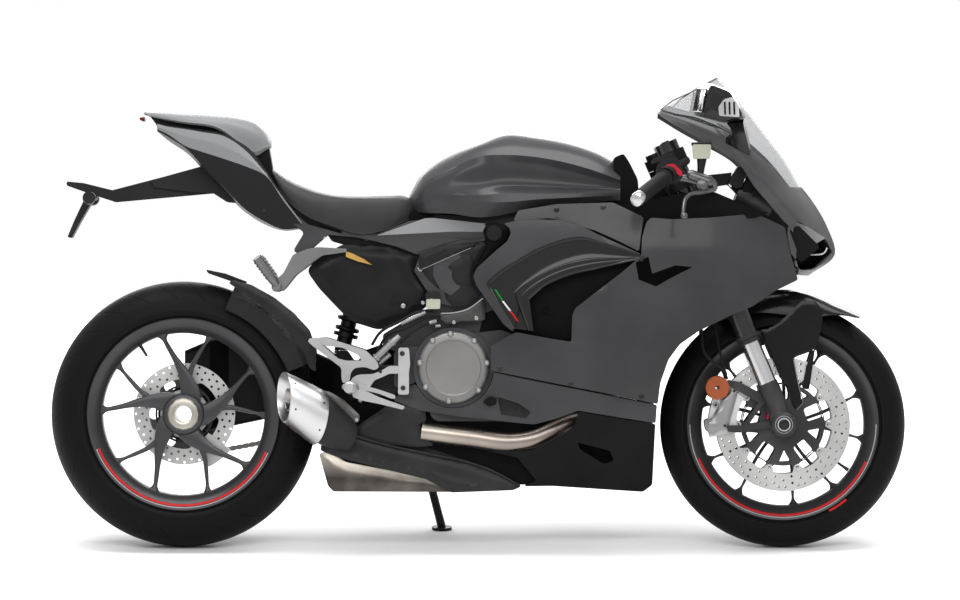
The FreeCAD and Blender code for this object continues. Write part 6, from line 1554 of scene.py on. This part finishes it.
screws = [skin_screw(x, z) for x, z in ((758, 428), (927, 392), (1095, 362), (893, 806), (1004, 812),
    (1094, 690))]
make("fairing_screws", twin(screws), dark_zinc, "black_paint")
flat, faces = filled([rounded([(1081, 681), (1088, 640), (1129, 624), (1216, 670), (1175, 674), (1120, 654),
    (1111, 695)], 2)], 8)
flash = [(on_skin(flat, flank(*flat.T) + 0.5), faces)]
make("black_flash", twin(flash), tinted("flash_print", (0.002, 0.002, 0.002), 0.8, specular=0.01),
    "gloss_black", thickness=0.3)
stripe_line = [(746, 617), (764.5, 589), (782, 566), (800.5, 541)]
for index, (name, colour) in enumerate((("green", (0.012, 0.16, 0.03)), ("white", (0.62, 0.62, 0.62)),
        ("red", (0.42, 0.012, 0.016)))):
    (xa, za), (xb, zb) = stripe_line[index:index + 2]
    places = np.array([[(x + side * 2.6, z) for side in (-1, 1)]
        for x, z in np.linspace((xa, za), (xb, zb), 6)])
    strip = [grid(on_skin(places, flank(places[..., 0], places[..., 1]) + 0.5))]
    make(f"{name}_stripe", twin(strip), tinted(f"{name}_stripe_paint", colour, 0.35, spread=0.04),
        "gloss_black", thickness=0.4)

clip = plate([(716, 349), (733, 361), (750, 356), (748, 342), (731, 337)], -168, -160, 3)
box_bolt = disc_at(562, 366, [(0, -125), (5, -125), (6, -127), (11, -127), (12.5, -125), (12.5, -116),
    (0, -116)], 28)
make("panel_clip", clip, dark_satin, "moulded_black", bevel=2)
make("box_bolts", [cap_bolt(806, 325, -160, 7, 5), box_bolt, cap_bolt(194, 804, -107, 4, 3)], dark_zinc,
    "black_paint")

for end, axle, radius, degrees, place in (("rear", REAR_AXLE, 196, 122, -56),
        ("front", FRONT_AXLE, 192, -35, -26)):
    foot, top = ring_point(axle, np.array([radius, radius - 32]), place, degrees)
    make(f"{end}_valve", [tube([foot, foot * 0.55 + top * 0.45, top], 3.4, 12, 3, radii=[5, 3.6, 3.2])],
        dark_zinc, "black_paint", body=f"{end}_wheel")
arc = np.stack([ring_point(FRONT_AXLE, np.array([232.0, 245.0]), np.array([-56.3, -59.0]), degrees)
    for degrees in np.linspace(-62, -50, 12)])
make("front_tyre_dash", [grid(arc)], red_tape, "red_lens", body="front_wheel", thickness=0.6, away=FRONT_AXLE)
nut = [turned(REAR_AXLE, [(21, -64), (22, -68.5), (30, -68.5), (36, -67), (39, -64), (39, -56), (21, -56)],
    12), turned(REAR_AXLE, [(20, -58), (20, -70), (24, -71), (26, -70), (26, -58)], 64)]
make("rear_ring_nut", nut, tinted("beige_anodised_nut", (0.30, 0.285, 0.255), 0.34, metallic=0.9),
    "machined_alloy", body="rear_wheel", sharp=30)

# The drive chain: waisted link plates in two rows with a pin through each joint, laid along the straight
# runs and round both sprockets, 110 links of steel.

hub, gear = REAR_AXLE[[0, 2]], np.array([640.0, 375.0])
HUB_RADIUS, GEAR_RADIUS, LINKS = 104, 40, 110
span = math.hypot(*(gear - hub))
slope = math.atan2(gear[1] - hub[1], gear[0] - hub[0])
top = slope + math.acos((HUB_RADIUS - GEAR_RADIUS) / span)
low = 2 * slope - top
turns = [(hub, HUB_RADIUS, np.linspace(top, low + 2 * math.pi, 90)),
    (gear, GEAR_RADIUS, np.linspace(low, top, 40))]
pitch_line = np.concatenate([centre + radius * np.stack([np.cos(turn), np.sin(turn)], -1)
    for centre, radius, turn in turns])
pitch_line = np.concatenate([pitch_line, pitch_line[:1]])
run = np.concatenate([[0], np.hypot(*np.diff(pitch_line, axis=0).T).cumsum()])
places = np.linspace(0, run[-1], LINKS + 1)
pins = np.stack([np.interp(places, run, column) for column in pitch_line.T], -1)[:-1]
links_drawn = []
for index, (start, end) in enumerate(zip(pins, np.roll(pins, -1, axis=0))):
    way = (end - start) / np.hypot(*(end - start))
    up = np.array([-way[1], way[0]])
    middle, half = (start + end) / 2, np.hypot(*(end - start)) / 2
    shape = np.array([(-half - 5.4, -2.4), (-half - 3, -5.6), (-half + 2.5, -6), (0, -4.4), (half - 2.5, -6),
        (half + 3, -5.6), (half + 5.4, -2.4), (half + 5.4, 2.4), (half + 3, 5.6), (half - 2.5, 6), (0, 4.4),
        (-half + 2.5, 6), (-half - 3, 5.6), (-half - 5.4, 2.4)])
    outline = middle + shape[:, :1] * way + shape[:, 1:] * up
    outer = 0 if index % 2 else 1.6
    for near in (130.6 + 1.6 - outer, 143.9 - 1.6 + outer):
        link = np.stack([at_across(outline, near + depth) for depth in (0, 1.4)])
        links_drawn.append(body_of(link))
    links_drawn.append(disc_at(*start, [(0, 130.2), (2.4, 130.2), (2.4, 145.8), (0, 145.8)], 8))
make("chain_links", links_drawn, tinted("chain_steel", (0.16, 0.155, 0.15), 0.35, metallic=0.9), "steel",
    ["chain"], sharp=50)

# The pieces that keep their CAD shape wear the finish of their own material slot.

finishes = {
    "satin_black": tinted("satin_black_paint", (0.026, 0.026, 0.028), 0.36, grain=0.25, grain_size=900),
    "gloss_black": tinted("gloss_black_paint", (0.010, 0.010, 0.011), 0.14, coat=0.8, spread=0.1),
    "moulded_black": tinted("black_moulding", (0.011, 0.011, 0.0115), 0.5, grain=0.5, grain_size=700),
    "cast_alloy": tinted("cast_grey_alloy", (0.13, 0.127, 0.124), 0.42, metallic=0.85, grain=0.5,
        grain_size=500),
    "graphite_paint": tinted("graphite_wheel_paint", (0.045, 0.045, 0.047), 0.33, metallic=0.35),
    "black_paint": tinted("black_frame_paint", (0.009, 0.009, 0.0095), 0.38),
    "machined_alloy": tinted("machined_bright_alloy", (0.42, 0.42, 0.415), 0.36, metallic=1.0),
    "steel": tinted("bare_steel", (0.45, 0.45, 0.45), 0.3, metallic=1.0),
    "warm_steel": tinted("heated_steel", (0.24, 0.205, 0.175), 0.36, metallic=1.0),
    "tyre_rubber": tinted("plain_rubber", (0.012, 0.012, 0.012), 0.55),
    "hose_rubber": tinted("hose_rubber_black", (0.012, 0.012, 0.012), 0.45),
    "seat_vinyl": tinted("seat_cover_black", (0.020, 0.020, 0.021), 0.5, grain=0.6, grain_size=1100),
    "grey_pad": tinted("light_grey_paint", (0.28, 0.285, 0.29), 0.42),
    "screen": tinted("plain_screen", (0.6, 0.62, 0.64), 0.1),
    "lamp_lens": tinted("dark_lamp_glass", (0.004, 0.004, 0.0045), 0.12, spread=0.1),
    "red_lens": tinted("red_lens_plastic", (0.09, 0.004, 0.004), 0.18, coat=0.3),
}
by_node = {
    "shock_absorber": tinted("blackened_shock", (0.02, 0.02, 0.0205), 0.36, metallic=0.5),
    "rear_sprocket": tinted("hardened_sprocket_steel", (0.13, 0.128, 0.125), 0.4, metallic=0.95),
}
slots = {part["node"]: part["material_slot"] for part in frame["record"]["subparts"]}
for node, item in frame["nodes"].items():
    item.data.materials.clear()
    item.data.materials.append(by_node.get(node) or finishes[slots[node]])
